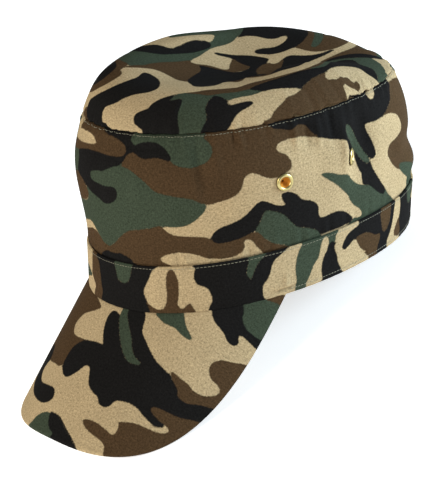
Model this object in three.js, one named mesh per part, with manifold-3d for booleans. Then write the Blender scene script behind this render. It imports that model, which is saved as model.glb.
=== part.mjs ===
// A soft cloth military cap: a round crown of a wall and a domed top, a headband, and a curved stiff peak.
// Millimetres, +Z up. The peak points to -Y and the wearer's left is +X.
// The cap is drawn as it is worn, with the rim level at z = 0, and then laid down to rest on the
// two lower corners of its peak and the back of its rim.

import * as THREE from 'three';
import { mergeVertices } from 'three/addons/utils/BufferGeometryUtils.js';
import Module from 'manifold-3d';

const wasm = await Module();
wasm.setup();

// Rim, the lower edge of the headband
const rimHalfLength = 102.3;
const rimHalfWidth = 78.8;
const rimSquareness = 2.12;
const rimWave = 0.55;

// Headband
const bandHeight = 25.1;
const bandDropAtBack = 1.15;
const bandFlare = 0.007;
const bandSetBack = 4.6;
const bandThickness = 1.6;

// Crown
const clothThickness = 1.4;
const seamHalfLength = 87.5;
const seamHalfWidth = 80.3;
const seamSquareness = 2.28;
const seamSetBack = 5.7;
const seamHeight = 92.1;
const bulgeRise = 1.6;
const hemDepth = 6;
const hemStepHeight = 1.2;
const hemStepDepth = 0.9;
const pieceGap = 0.3;

// Crown by direction: azimuth from the front in degrees, positive to the wearer's left;
// shoulder, the height of the top above its seam; steepness, how upright the shoulder stands;
// bulge, how far the wall stands out at its fullest; narrowing, how far the seam is drawn in
const crownSections = [
  { azimuth: -180, shoulder: 19, steepness: 9, bulge: 5, narrowing: 1.4 },
  { azimuth: -135, shoulder: 22, steepness: 9, bulge: 4, narrowing: 0 },
  { azimuth: -90, shoulder: 27, steepness: 9, bulge: 3, narrowing: 0 },
  { azimuth: -45, shoulder: 25, steepness: 9, bulge: 6, narrowing: 0 },
  { azimuth: 0, shoulder: 18, steepness: 9, bulge: 7, narrowing: 0 },
  { azimuth: 45, shoulder: 16, steepness: 9, bulge: 6, narrowing: 0 },
  { azimuth: 90, shoulder: 19, steepness: 9, bulge: 3, narrowing: 0 },
  { azimuth: 135, shoulder: 11, steepness: 4.5, bulge: 4.7, narrowing: 2 },
  { azimuth: 180, shoulder: 19, steepness: 9, bulge: 5, narrowing: 1.4 },
];

// Soft folds of the wall: level is the share of the height from band to seam,
// spread is the half width in degrees, reach the half height as a share, push outwards in millimetres
const wallFolds = [
  { azimuth: 36, level: 0.6, spread: 6, reach: 0.45, push: -1 },
  { azimuth: 82, level: 0.58, spread: 11, reach: 0.42, push: 1.8 },
  { azimuth: 96, level: 0.58, spread: 11, reach: 0.42, push: -2 },
  { azimuth: 140, level: 0.19, spread: 28, reach: 0.16, push: 2.6 },
  { azimuth: 140, level: 0.4, spread: 30, reach: 0.14, push: -1 },
  { azimuth: -38, level: 0.5, spread: 7, reach: 0.4, push: -1 },
  { azimuth: -100, level: 0.58, spread: 12, reach: 0.42, push: -1.5 },
  { azimuth: 180, level: 0.6, spread: 16, reach: 0.4, push: -1.2 },
];

// Top of the crown: a pillow with a steep shoulder and a shallow valley running back from the middle
const shoulderShare = 0.8;
const centreHeight = 11;
const valleyDepth = 3;
const valleyAcross = 0.2;
const valleyHalfWidth = 0.35;
const valleyStart = -0.35;
const valleyStartBlend = 0.15;

// Peak: a stiff board bent over the front of the rim, cut to a rounded outline when flat
const peakDroop = 43.2;
const peakThickness = 3;
const peakHalfWidth = 86.7;
const peakOutlineBase = 28.1;
const peakOutlineTip = 152.4;
const peakOutlineAcross = 3;
const peakOutlineAlong = 2.9;
const peakLeastLength = 1.2;

// Vent eyelets, pressed through the wall, two on each side
const eyeletFlangeRadius = 5;
const eyeletBoreRadius = 2.75;
const eyeletTubeWall = 0.4;
const eyeletFlangeHeight = 1.1;
const eyeletHoleClearance = 0.35;
const eyeletSeatGap = 0.55;
const eyelets = [
  { name: 'eyelet_left_front', azimuth: 59, level: 0.55 },
  { name: 'eyelet_left_rear', azimuth: 89, level: 0.565 },
  { name: 'eyelet_right_front', azimuth: -59, level: 0.55 },
  { name: 'eyelet_right_rear', azimuth: -89, level: 0.565 },
];

// Resting place: how far the cap tips back, and how far the cloth flattens on the surface
const restTilt = 13.735;
const restFlattening = 0.8;

// Fineness
const columns = 72;
const wallLevels = [0.05, 0.18, 0.33, 0.5, 0.66, 0.8, 0.91, 1];
const topRings = [1, 0.98, 0.93, 0.84, 0.72, 0.56, 0.38, 0.18, 0];
const bandLevels = [0, 0.5, 1];
const peakColumns = 40;
const peakRows = 6;
const eyeletSides = 16;
const tracingSteps = 400;

const radians = THREE.MathUtils.degToRad;

// Point of a superellipse at an azimuth, y growing towards the back
function ovalPoint(halfLength, halfWidth, squareness, azimuth) {
  const across = Math.sin(radians(azimuth));
  const along = -Math.cos(radians(azimuth));
  const sum = Math.abs(across / halfWidth) ** squareness + Math.abs(along / halfLength) ** squareness;
  const reach = sum ** (-1 / squareness);
  return new THREE.Vector2(reach * across, reach * along);
}

// Value of a column of the crown's table at an azimuth, eased from row to row
function crownValue(azimuth, column) {
  const turned = THREE.MathUtils.euclideanModulo(azimuth + 180, 360) - 180;
  const next = Math.max(1, crownSections.findIndex((row) => row.azimuth > turned));
  const from = crownSections[next - 1];
  const to = crownSections[next];
  const share = THREE.MathUtils.smoothstep(turned, from.azimuth, to.azimuth);
  return THREE.MathUtils.lerp(from[column], to[column], share);
}

// Point of the seam between the crown's wall and top, level with the floor of the head opening
function seamPoint(azimuth, inset) {
  const point = ovalPoint(seamHalfLength - inset, seamHalfWidth - inset, seamSquareness, azimuth);
  return point.multiplyScalar(1 - crownValue(azimuth, 'narrowing') / point.length());
}

// Point of the headband's outer face, inset by a depth of cloth; level 0 is the rim and 1 the top edge
function bandPoint(azimuth, level, inset) {
  const flat = ovalPoint(rimHalfLength - inset, rimHalfWidth - inset, rimSquareness, azimuth);
  const turn = Math.atan2(flat.x / rimHalfWidth, -flat.y / rimHalfLength);
  const height = bandHeight - bandDropAtBack * (1 - Math.cos(turn)) / 2;
  const flare = 1 + bandFlare * level;
  return new THREE.Vector3(
    flat.x * flare,
    flat.y * flare + bandSetBack * level,
    level * height - rimWave * Math.cos(2 * turn),
  );
}

// Outward direction of the wall, level with the floor of the head opening
function wallOutward(azimuth) {
  const flat = ovalPoint(rimHalfLength, rimHalfWidth, rimSquareness, azimuth);
  return new THREE.Vector3(flat.x / rimHalfWidth ** 2, flat.y / rimHalfLength ** 2, 0).normalize();
}

function bump(distance) {
  return Math.abs(distance) < 1 ? (1 + Math.cos(Math.PI * distance)) / 2 : 0;
}

function foldPush(azimuth, level) {
  return wallFolds.reduce((sum, fold) => {
    const away = THREE.MathUtils.euclideanModulo(azimuth - fold.azimuth + 180, 360) - 180;
    return sum + fold.push * bump(away / fold.spread) * bump((level - fold.level) / fold.reach);
  }, 0);
}

// Point of the wall's outer face, inset by a depth of cloth; level 0 is the band's top edge and 1 the seam
function wallPoint(azimuth, level, inset) {
  const foot = bandPoint(azimuth, 1, inset);
  const head = seamPoint(azimuth, inset);
  const point = foot.lerp(new THREE.Vector3(head.x, head.y + seamSetBack, seamHeight), level);
  const fullness = crownValue(azimuth, 'bulge') * Math.sin(Math.PI * level ** bulgeRise);
  return point.addScaledVector(wallOutward(azimuth), fullness + foldPush(azimuth, level));
}

// Height of the crown's top above its seam, at a share of the way out to a point of the seam
function topHeight(azimuth, share, point) {
  const shoulder = crownValue(azimuth, 'shoulder');
  const pillow = THREE.MathUtils.lerp(centreHeight, shoulder, THREE.MathUtils.smoothstep(share, 0, shoulderShare));
  const sideways = Math.exp(-(((point.x / seamHalfWidth - valleyAcross) / valleyHalfWidth) ** 2));
  const backwards = 1 / (1 + Math.exp(-(point.y / seamHalfLength - valleyStart) / valleyStartBlend));
  const rounding = 1 - share ** crownValue(azimuth, 'steepness');
  return rounding * (pillow - valleyDepth * sideways * backwards);
}

// Point of the crown's top at a share of the way out to the seam, inset by a depth of cloth
function topPoint(azimuth, share, inset) {
  const edge = seamPoint(azimuth, 0).multiplyScalar(share);
  const height = topHeight(azimuth, share, edge);
  return new THREE.Vector3(
    edge.x * (1 - inset / seamHalfWidth),
    edge.y * (1 - inset / seamHalfLength) + seamSetBack,
    seamHeight + pieceGap + height * (1 - inset / centreHeight),
  );
}

// Drops the triangles that shared points have closed up, as at the middle of the top
function closedGeometry(positions, index) {
  const loose = new THREE.BufferGeometry();
  loose.setAttribute('position', new THREE.Float32BufferAttribute(positions, 3));
  loose.setIndex(index);
  const geometry = mergeVertices(loose, 1e-4);
  const corners = geometry.getIndex().array;
  const kept = [];
  for (let i = 0; i < corners.length; i += 3) {
    const [a, b, c] = corners.slice(i, i + 3);
    if (a !== b && b !== c && c !== a) kept.push(a, b, c);
  }
  geometry.setIndex(kept);
  geometry.computeVertexNormals();
  return geometry;
}

// Closed body through sections that are each a closed loop of points; it joins on itself or ends in caps
function loftedGeometry(sections, joinsItself) {
  const count = sections.length;
  const size = sections[0].length;
  const index = [];
  const addQuad = (a, b, c, d) => index.push(a, b, c, a, c, d);
  for (let i = 0; i < (joinsItself ? count : count - 1); i += 1) {
    const here = i * size;
    const there = ((i + 1) % count) * size;
    for (let j = 0; j < size; j += 1) {
      const next = (j + 1) % size;
      addQuad(here + j, there + j, there + next, here + next);
    }
  }
  const last = (count - 1) * size;
  for (let j = 0; !joinsItself && j < size / 2 - 1; j += 1) {
    const mirror = size - 1 - j;
    addQuad(j, j + 1, mirror - 1, mirror);
    addQuad(last + j, last + mirror, last + mirror - 1, last + j + 1);
  }
  return closedGeometry(sections.flat().flatMap((point) => point.toArray()), index);
}

function azimuths() {
  return Array.from({ length: columns }, (_, i) => (i * 360) / columns);
}

// The surface the cap rests on, seen in the worn position: a level and an upward direction
const floorUp = new THREE.Vector3(0, -Math.sin(radians(restTilt)), Math.cos(radians(restTilt)));

// Flattens the lowest corners of the sections to the surface
function settle(sections) {
  const lowest = Math.min(...sections.flat().map((point) => point.dot(floorUp)));
  const floor = lowest + restFlattening;
  sections.flat().forEach((point) => point.addScaledVector(floorUp, Math.max(0, floor - point.dot(floorUp))));
}

// Headband: one closed hoop of folded cloth
function headbandSections() {
  return azimuths().map((azimuth) => {
    const outside = bandLevels.map((level) => bandPoint(azimuth, level, 0));
    const inside = bandLevels.map((level) => bandPoint(azimuth, level, bandThickness));
    return [...outside, ...inside.reverse()];
  });
}

// Crown wall: its hem is tucked inside the band, and it steps out over the band's top edge
function crownWallGeometry() {
  const tuck = bandThickness + pieceGap;
  const sections = azimuths().map((azimuth) => {
    const face = (inset) => [
      bandPoint(azimuth, 1 - hemDepth / bandHeight, tuck + inset),
      bandPoint(azimuth, 1 - pieceGap / bandHeight, tuck + inset),
      bandPoint(azimuth, 1 + hemStepHeight / bandHeight, hemStepDepth + inset),
      ...wallLevels.map((level) => wallPoint(azimuth, level, inset + hemStepDepth * (1 - level))),
    ];
    return [...face(0), ...face(clothThickness).reverse()];
  });
  return loftedGeometry(sections, true);
}

function crownTopGeometry() {
  const sections = azimuths().map((azimuth) => {
    const outside = topRings.map((share) => topPoint(azimuth, share, 0));
    const inside = topRings.map((share) => topPoint(azimuth, share, clothThickness));
    return [...outside, ...inside.reverse()];
  });
  return loftedGeometry(sections, true);
}

// The peak's board is ruled along one straight direction, down and forward from the rim
const peakAlong = new THREE.Vector3(0, -Math.cos(radians(peakDroop)), -Math.sin(radians(peakDroop)));
const peakDown = new THREE.Vector3(0, Math.sin(radians(peakDroop)), -Math.cos(radians(peakDroop)));

// Follows the rim from the front to one side, with the width that the board has there when flat
function tracedRim(side) {
  const stops = [];
  let width = 0;
  for (let i = 0; i <= tracingSteps; i += 1) {
    const azimuth = (side * 90 * i) / tracingSteps;
    const point = bandPoint(azimuth, 0, 0);
    const before = stops[i - 1];
    if (before) {
      width += side * Math.hypot(point.x - before.point.x, point.clone().sub(before.point).dot(peakDown));
    }
    stops.push({ width, point });
  }
  return stops;
}

const rimTraces = { left: tracedRim(1), right: tracedRim(-1) };

// Rim point and the board's upper direction where the board, laid flat, is at a width from its middle
function peakRoot(width) {
  const trace = width >= 0 ? rimTraces.left : rimTraces.right;
  const found = trace.findIndex((stop) => Math.abs(stop.width) >= Math.abs(width));
  const next = Math.max(1, found);
  const from = trace[next - 1];
  const to = trace[next];
  const point = from.point.clone().lerp(to.point, (width - from.width) / (to.width - from.width));
  const edge = to.point.clone().sub(from.point).multiplyScalar(Math.sign(to.width - from.width));
  return { point, up: edge.cross(peakAlong).negate().normalize() };
}

// Length of the board below the rim at a width, from its flat outline
function peakLength(width) {
  const share = Math.min(1, Math.abs(width) / peakHalfWidth);
  const roundness = (1 - share ** peakOutlineAcross) ** (1 / peakOutlineAlong);
  const outline = peakOutlineBase + (peakOutlineTip - peakOutlineBase) * roundness;
  return outline - peakRoot(width).point.dot(peakAlong);
}

// Half width of the flat board where its outline runs into the rim
function peakReach() {
  let [inner, outer] = [0, peakHalfWidth];
  for (let i = 0; i < 40; i += 1) {
    const middle = (inner + outer) / 2;
    if (peakLength(middle) > peakLeastLength) inner = middle;
    else outer = middle;
  }
  return inner;
}

function peakSections() {
  const reach = peakReach();
  return Array.from({ length: peakColumns + 1 }, (_, i) => {
    const width = reach * Math.sin((Math.PI / 2) * (2 * i / peakColumns - 1));
    const root = peakRoot(width);
    root.point.z -= pieceGap;
    const upper = Array.from({ length: peakRows + 1 }, (__, j) => (
      root.point.clone().addScaledVector(peakAlong, peakLength(width) * j / peakRows)));
    const lower = upper.map((point) => point.clone().addScaledVector(root.up, -peakThickness));
    return [...lower, ...upper.reverse()];
  });
}

// Eyelets
function eyeletFrame(eyelet) {
  const step = 0.5;
  const centre = wallPoint(eyelet.azimuth, eyelet.level, hemStepDepth * (1 - eyelet.level) + clothThickness / 2);
  const sideways = wallPoint(eyelet.azimuth + step, eyelet.level, 0)
    .sub(wallPoint(eyelet.azimuth - step, eyelet.level, 0)).normalize();
  const upwards = wallPoint(eyelet.azimuth, eyelet.level + step / 10, 0)
    .sub(wallPoint(eyelet.azimuth, eyelet.level - step / 10, 0)).normalize();
  const outward = sideways.clone().cross(upwards).normalize();
  const along = outward.clone().cross(sideways).normalize();
  return new THREE.Matrix4().makeBasis(sideways, along, outward).setPosition(centre);
}

// Both flanges and the tube between them in one closed profile, turned about the eyelet's axis
function eyeletGeometry() {
  const face = clothThickness / 2 + eyeletSeatGap;
  const tube = eyeletBoreRadius + eyeletTubeWall;
  const crest = face + eyeletFlangeHeight;
  const middle = (eyeletBoreRadius + eyeletFlangeRadius) / 2;
  const half = [
    [tube, face],
    [eyeletFlangeRadius, face],
    [eyeletFlangeRadius, face + eyeletFlangeHeight / 3],
    [middle, crest],
    [eyeletBoreRadius, face + eyeletFlangeHeight / 2],
  ];
  const other = half.map(([radius, height]) => [radius, -height]).reverse();
  const profile = [...half, ...other, half[0]].map(([radius, height]) => new THREE.Vector2(radius, height));
  const turned = new THREE.LatheGeometry(profile, eyeletSides);
  turned.rotateX(Math.PI / 2);
  turned.deleteAttribute('normal');
  turned.deleteAttribute('uv');
  const { position } = turned.attributes;
  return closedGeometry([...position.array], [...turned.getIndex().array]);
}

function toManifold(geometry) {
  const vertProperties = new Float32Array(geometry.attributes.position.array);
  const triVerts = new Uint32Array(geometry.getIndex().array);
  return new wasm.Manifold(new wasm.Mesh({ numProp: 3, vertProperties, triVerts }));
}

// Crown wall with a round hole for each eyelet
function piercedWallGeometry() {
  let wall = toManifold(crownWallGeometry());
  eyelets.forEach((eyelet) => {
    const radius = eyeletBoreRadius + eyeletTubeWall + eyeletHoleClearance;
    const drill = new THREE.CylinderGeometry(radius, radius, 4 * eyeletFlangeRadius, eyeletSides);
    drill.rotateX(Math.PI / 2);
    drill.applyMatrix4(eyeletFrame(eyelet));
    drill.deleteAttribute('normal');
    drill.deleteAttribute('uv');
    wall = wall.subtract(toManifold(mergeVertices(drill, 1e-4)));
  });
  const { vertProperties, triVerts } = wall.getMesh();
  return closedGeometry([...vertProperties], [...triVerts]);
}

// Finishes
const crownCloth = new THREE.MeshStandardMaterial({ color: '#8d7a5c', roughness: 0.9, metalness: 0 });
const topCloth = crownCloth.clone();
const bandCloth = crownCloth.clone();
const peakCloth = crownCloth.clone();
const brass = new THREE.MeshStandardMaterial({ color: '#c9a24a', roughness: 0.3, metalness: 1 });

// Assembly in the worn position
const cap = new THREE.Group();

function addPiece(name, geometry, material) {
  const piece = new THREE.Mesh(geometry, material);
  piece.name = name;
  cap.add(piece);
  return piece;
}

const bandLoops = headbandSections();
const peakLoops = peakSections();
settle([...bandLoops, ...peakLoops]);

addPiece('crown_top', crownTopGeometry(), topCloth);
addPiece('crown_wall', piercedWallGeometry(), crownCloth);
addPiece('headband', loftedGeometry(bandLoops, true), bandCloth);
addPiece('peak', loftedGeometry(peakLoops, false), peakCloth);
eyelets.forEach((eyelet) => {
  addPiece(eyelet.name, eyeletGeometry(), brass.clone()).applyMatrix4(eyeletFrame(eyelet));
});

// Laid down on its surface, with the middle of its footprint at the origin
cap.rotation.x = -radians(restTilt);
const footprint = new THREE.Box3().setFromObject(cap, true);
const middle = footprint.getCenter(new THREE.Vector3());
cap.position.set(-middle.x, -middle.y, -footprint.min.z);

const group = new THREE.Group();
group.add(cap);

export default group;
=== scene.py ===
import math

import bpy
import numpy as np
from mathutils import Matrix, Vector


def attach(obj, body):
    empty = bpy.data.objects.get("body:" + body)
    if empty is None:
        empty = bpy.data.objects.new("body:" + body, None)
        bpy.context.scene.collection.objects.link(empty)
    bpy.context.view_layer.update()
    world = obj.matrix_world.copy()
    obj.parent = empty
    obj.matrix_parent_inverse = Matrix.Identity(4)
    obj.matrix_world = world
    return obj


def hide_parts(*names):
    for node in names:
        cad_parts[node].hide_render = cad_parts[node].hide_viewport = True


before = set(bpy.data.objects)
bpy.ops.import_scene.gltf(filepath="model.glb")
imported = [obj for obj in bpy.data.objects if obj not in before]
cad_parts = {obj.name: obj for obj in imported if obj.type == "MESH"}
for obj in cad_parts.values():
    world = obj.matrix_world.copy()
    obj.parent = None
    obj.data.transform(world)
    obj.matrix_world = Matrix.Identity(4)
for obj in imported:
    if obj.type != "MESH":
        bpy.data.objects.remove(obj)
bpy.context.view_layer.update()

# Lengths are millimetres in the cap's worn position: rim level, peak to -Y, the wearer's left to +X.
# layDown() tips the cap back on the floor and gives metres.

laidDown = {"tipBack": 13.735, "shift": (-0.4123, 26.4184, 24.0235)}


def layDown(points):
    tip = math.radians(laidDown["tipBack"])
    x, y, z = points[..., 0], points[..., 1], points[..., 2]
    turned = np.stack([x, y * math.cos(tip) + z * math.sin(tip), z * math.cos(tip) - y * math.sin(tip)], -1)
    return (turned + np.array(laidDown["shift"])) / 1000


# Camera: the photo's view, solved on the worn cap and laid down with it

photoView = {
    "azimuth": 50.67, "elevation": 19.98, "roll": -8.11,
    "distance": 756.7, "pixelsPerMm": 1.757, "frameHeight": 480,
    "aimHeight": 50, "aimRight": -12.585, "aimUp": -44.42, "filmHeight": 24,
}


def placeCamera():
    view = photoView
    azimuth, elevation, roll = (math.radians(view[key]) for key in ("azimuth", "elevation", "roll"))
    back = Vector((math.sin(azimuth) * math.cos(elevation), -math.cos(azimuth) * math.cos(elevation),
                   math.sin(elevation)))
    level = Vector((math.cos(azimuth), math.sin(azimuth), 0))
    upright = back.cross(level)
    right = math.cos(roll) * level + math.sin(roll) * upright
    up = math.cos(roll) * upright - math.sin(roll) * level
    aim = Vector((0, 0, view["aimHeight"])) + view["aimRight"] * right + view["aimUp"] * up
    place = layDown(np.array(aim + view["distance"] * back))
    turn = Matrix.Rotation(-math.radians(laidDown["tipBack"]), 3, "X")
    axes = Matrix((turn @ right, turn @ up, turn @ back)).transposed().to_4x4()
    bpy.ops.object.camera_add()
    camera = bpy.context.object
    camera.name = "photoCamera"
    camera.matrix_world = Matrix.Translation(Vector(place)) @ axes
    camera.data.sensor_fit = "VERTICAL"
    camera.data.sensor_height = view["filmHeight"]
    focalPixels = view["pixelsPerMm"] * view["distance"]
    camera.data.lens = view["filmHeight"] * focalPixels / view["frameHeight"]
    bpy.context.scene.camera = camera


placeCamera()
print("camera placed")


# Form of the cap

rimOval = {"halfLength": 102.3, "halfWidth": 78.8, "squareness": 2.12}
seamOval = {"halfLength": 87.5, "halfWidth": 80.3, "squareness": 2.28}
band = {"height": 25.1, "dropAtBack": 1.15, "flare": 0.007, "setBack": 4.6, "thickness": 1.6,
        "rimWave": 0.55}
crown = {"seamHeight": 92.1, "seamSetBack": 5.7, "bulgeRise": 1.6, "cloth": 1.4, "gap": 0.3,
         "wallPlan": 67, "hem": 6, "hemStep": 0.9, "middle": (0, 5, 55)}
crownRows = {  # by direction from the front, positive to the wearer's left
    "azimuth": (-180, -135, -90, -45, 0, 45, 90, 135, 180),
    "shoulder": (19, 22, 27, 25, 18, 16, 19, 11, 19),
    "steepness": (9, 9, 9, 9, 9, 9, 9, 4.5, 9),
    "bulge": (5, 4, 3, 6, 7, 6, 3, 4.7, 5),
    "narrowing": (1.4, 0, 0, 0, 0, 0, 0, 2, 1.4),
}
wallFolds = (  # azimuth, level, half width in degrees, half height as a share, push in mm
    (36, 0.6, 6, 0.45, -1), (82, 0.58, 11, 0.42, 1.8), (96, 0.58, 11, 0.42, -2),
    (140, 0.19, 28, 0.16, 2.6), (140, 0.4, 30, 0.14, -1), (-38, 0.5, 7, 0.4, -1),
    (-100, 0.58, 12, 0.42, -1.5), (180, 0.6, 16, 0.4, -1.2),
)
smallFolds = (  # the same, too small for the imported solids: the cloth turns further round an eyelet
    (86, 0.58, 5, 0.3, 0.9), (92, 0.58, 5, 0.3, -0.9),
)
topForm = {"shoulderShare": 0.8, "centre": 11, "valleyDepth": 3, "valleyAcross": 0.2,
           "valleyHalfWidth": 0.35, "valleyStart": -0.35, "valleyBlend": 0.15}


def ovalPoint(oval, azimuth, inset=0.0):
    across = np.sin(np.radians(azimuth))
    along = -np.cos(np.radians(azimuth))
    power = oval["squareness"]
    total = (np.abs(across / (oval["halfWidth"] - inset)) ** power
             + np.abs(along / (oval["halfLength"] - inset)) ** power)
    return total ** (-1 / power) * across, total ** (-1 / power) * along


def smooth(share):
    share = np.clip(share, 0, 1)
    return share * share * (3 - 2 * share)


def crownValue(azimuth, column):
    stops = np.array(crownRows["azimuth"], float)
    values = np.array(crownRows[column], float)
    turned = (azimuth + 180) % 360 - 180
    before = np.clip(np.searchsorted(stops, turned, side="right") - 1, 0, len(stops) - 2)
    share = smooth((turned - stops[before]) / (stops[before + 1] - stops[before]))
    return values[before] + (values[before + 1] - values[before]) * share


def seamPoint(azimuth, inset=0.0):
    x, y = ovalPoint(seamOval, azimuth, inset)
    kept = 1 - crownValue(azimuth, "narrowing") / np.hypot(x, y)
    return x * kept, y * kept


def bandPoint(azimuth, level, inset=0.0):
    x, y = ovalPoint(rimOval, azimuth, inset)
    turn = np.arctan2(x / rimOval["halfWidth"], -y / rimOval["halfLength"])
    height = band["height"] - band["dropAtBack"] * (1 - np.cos(turn)) / 2
    flare = 1 + band["flare"] * level
    return np.stack([x * flare, y * flare + band["setBack"] * level,
                     level * height - band["rimWave"] * np.cos(2 * turn)], -1)


def wallOutward(azimuth):
    x, y = ovalPoint(rimOval, azimuth)
    out = np.stack([x / rimOval["halfWidth"] ** 2, y / rimOval["halfLength"] ** 2, np.zeros_like(x)], -1)
    return out / np.linalg.norm(out, axis=-1, keepdims=True)


def bump(distance):
    return np.where(np.abs(distance) < 1, (1 + np.cos(np.pi * distance)) / 2, 0)


def foldPush(folds, azimuth, level):
    push = np.zeros_like(azimuth)
    for foldAzimuth, foldLevel, spread, reach, height in folds:
        away = (azimuth - foldAzimuth + 180) % 360 - 180
        push = push + height * bump(away / spread) * bump((level - foldLevel) / reach)
    return push


def wallPoint(azimuth, level, inset=0.0):
    foot = bandPoint(azimuth, np.ones_like(azimuth), inset)
    x, y = seamPoint(azimuth, inset)
    head = np.stack([x, y + crown["seamSetBack"], np.full_like(x, crown["seamHeight"])], -1)
    fullness = crownValue(azimuth, "bulge") * np.sin(np.pi * np.clip(level, 0, 1) ** crown["bulgeRise"])
    push = fullness + foldPush(wallFolds + smallFolds, azimuth, level)
    level = np.asarray(level)[..., None]
    return foot + (head - foot) * level + wallOutward(azimuth) * push[..., None]


def topPoint(azimuth, share):
    x, y = seamPoint(azimuth)
    x, y = x * share, y * share
    across, along = x / seamOval["halfWidth"], y / seamOval["halfLength"]
    form = topForm
    shoulder = crownValue(azimuth, "shoulder")
    pillow = form["centre"] + (shoulder - form["centre"]) * smooth(share / form["shoulderShare"])
    sideways = np.exp(-((across - form["valleyAcross"]) / form["valleyHalfWidth"]) ** 2)
    backwards = 1 / (1 + np.exp(-(along - form["valleyStart"]) / form["valleyBlend"]))
    lowered = form["valleyDepth"] * sideways * backwards
    height = (1 - share ** crownValue(azimuth, "steepness")) * (pillow - lowered)
    return np.stack([x, y + crown["seamSetBack"], crown["seamHeight"] + crown["gap"] + height], -1)


# Lengths along the rim, which number the cloth of the band and of the wall

rimStops = np.linspace(-180, 180, 1441)  # four for each degree
rimTrack = bandPoint(rimStops, np.zeros_like(rimStops))[:, :2]
rimLengths = np.concatenate([[0], np.cumsum(np.linalg.norm(np.diff(rimTrack, axis=0), axis=1))])
girth = rimLengths[-1]
rimLengths = rimLengths - np.interp(0, rimStops, rimLengths)


def azimuthAt(length):
    return np.interp((length + girth / 2) % girth - girth / 2, rimLengths, rimStops)


# Printed pattern: outlines of the patches on the flat cloth of each panel, in millimetres.
# Brown is printed first, then green, then black, over the tan ground.

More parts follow.
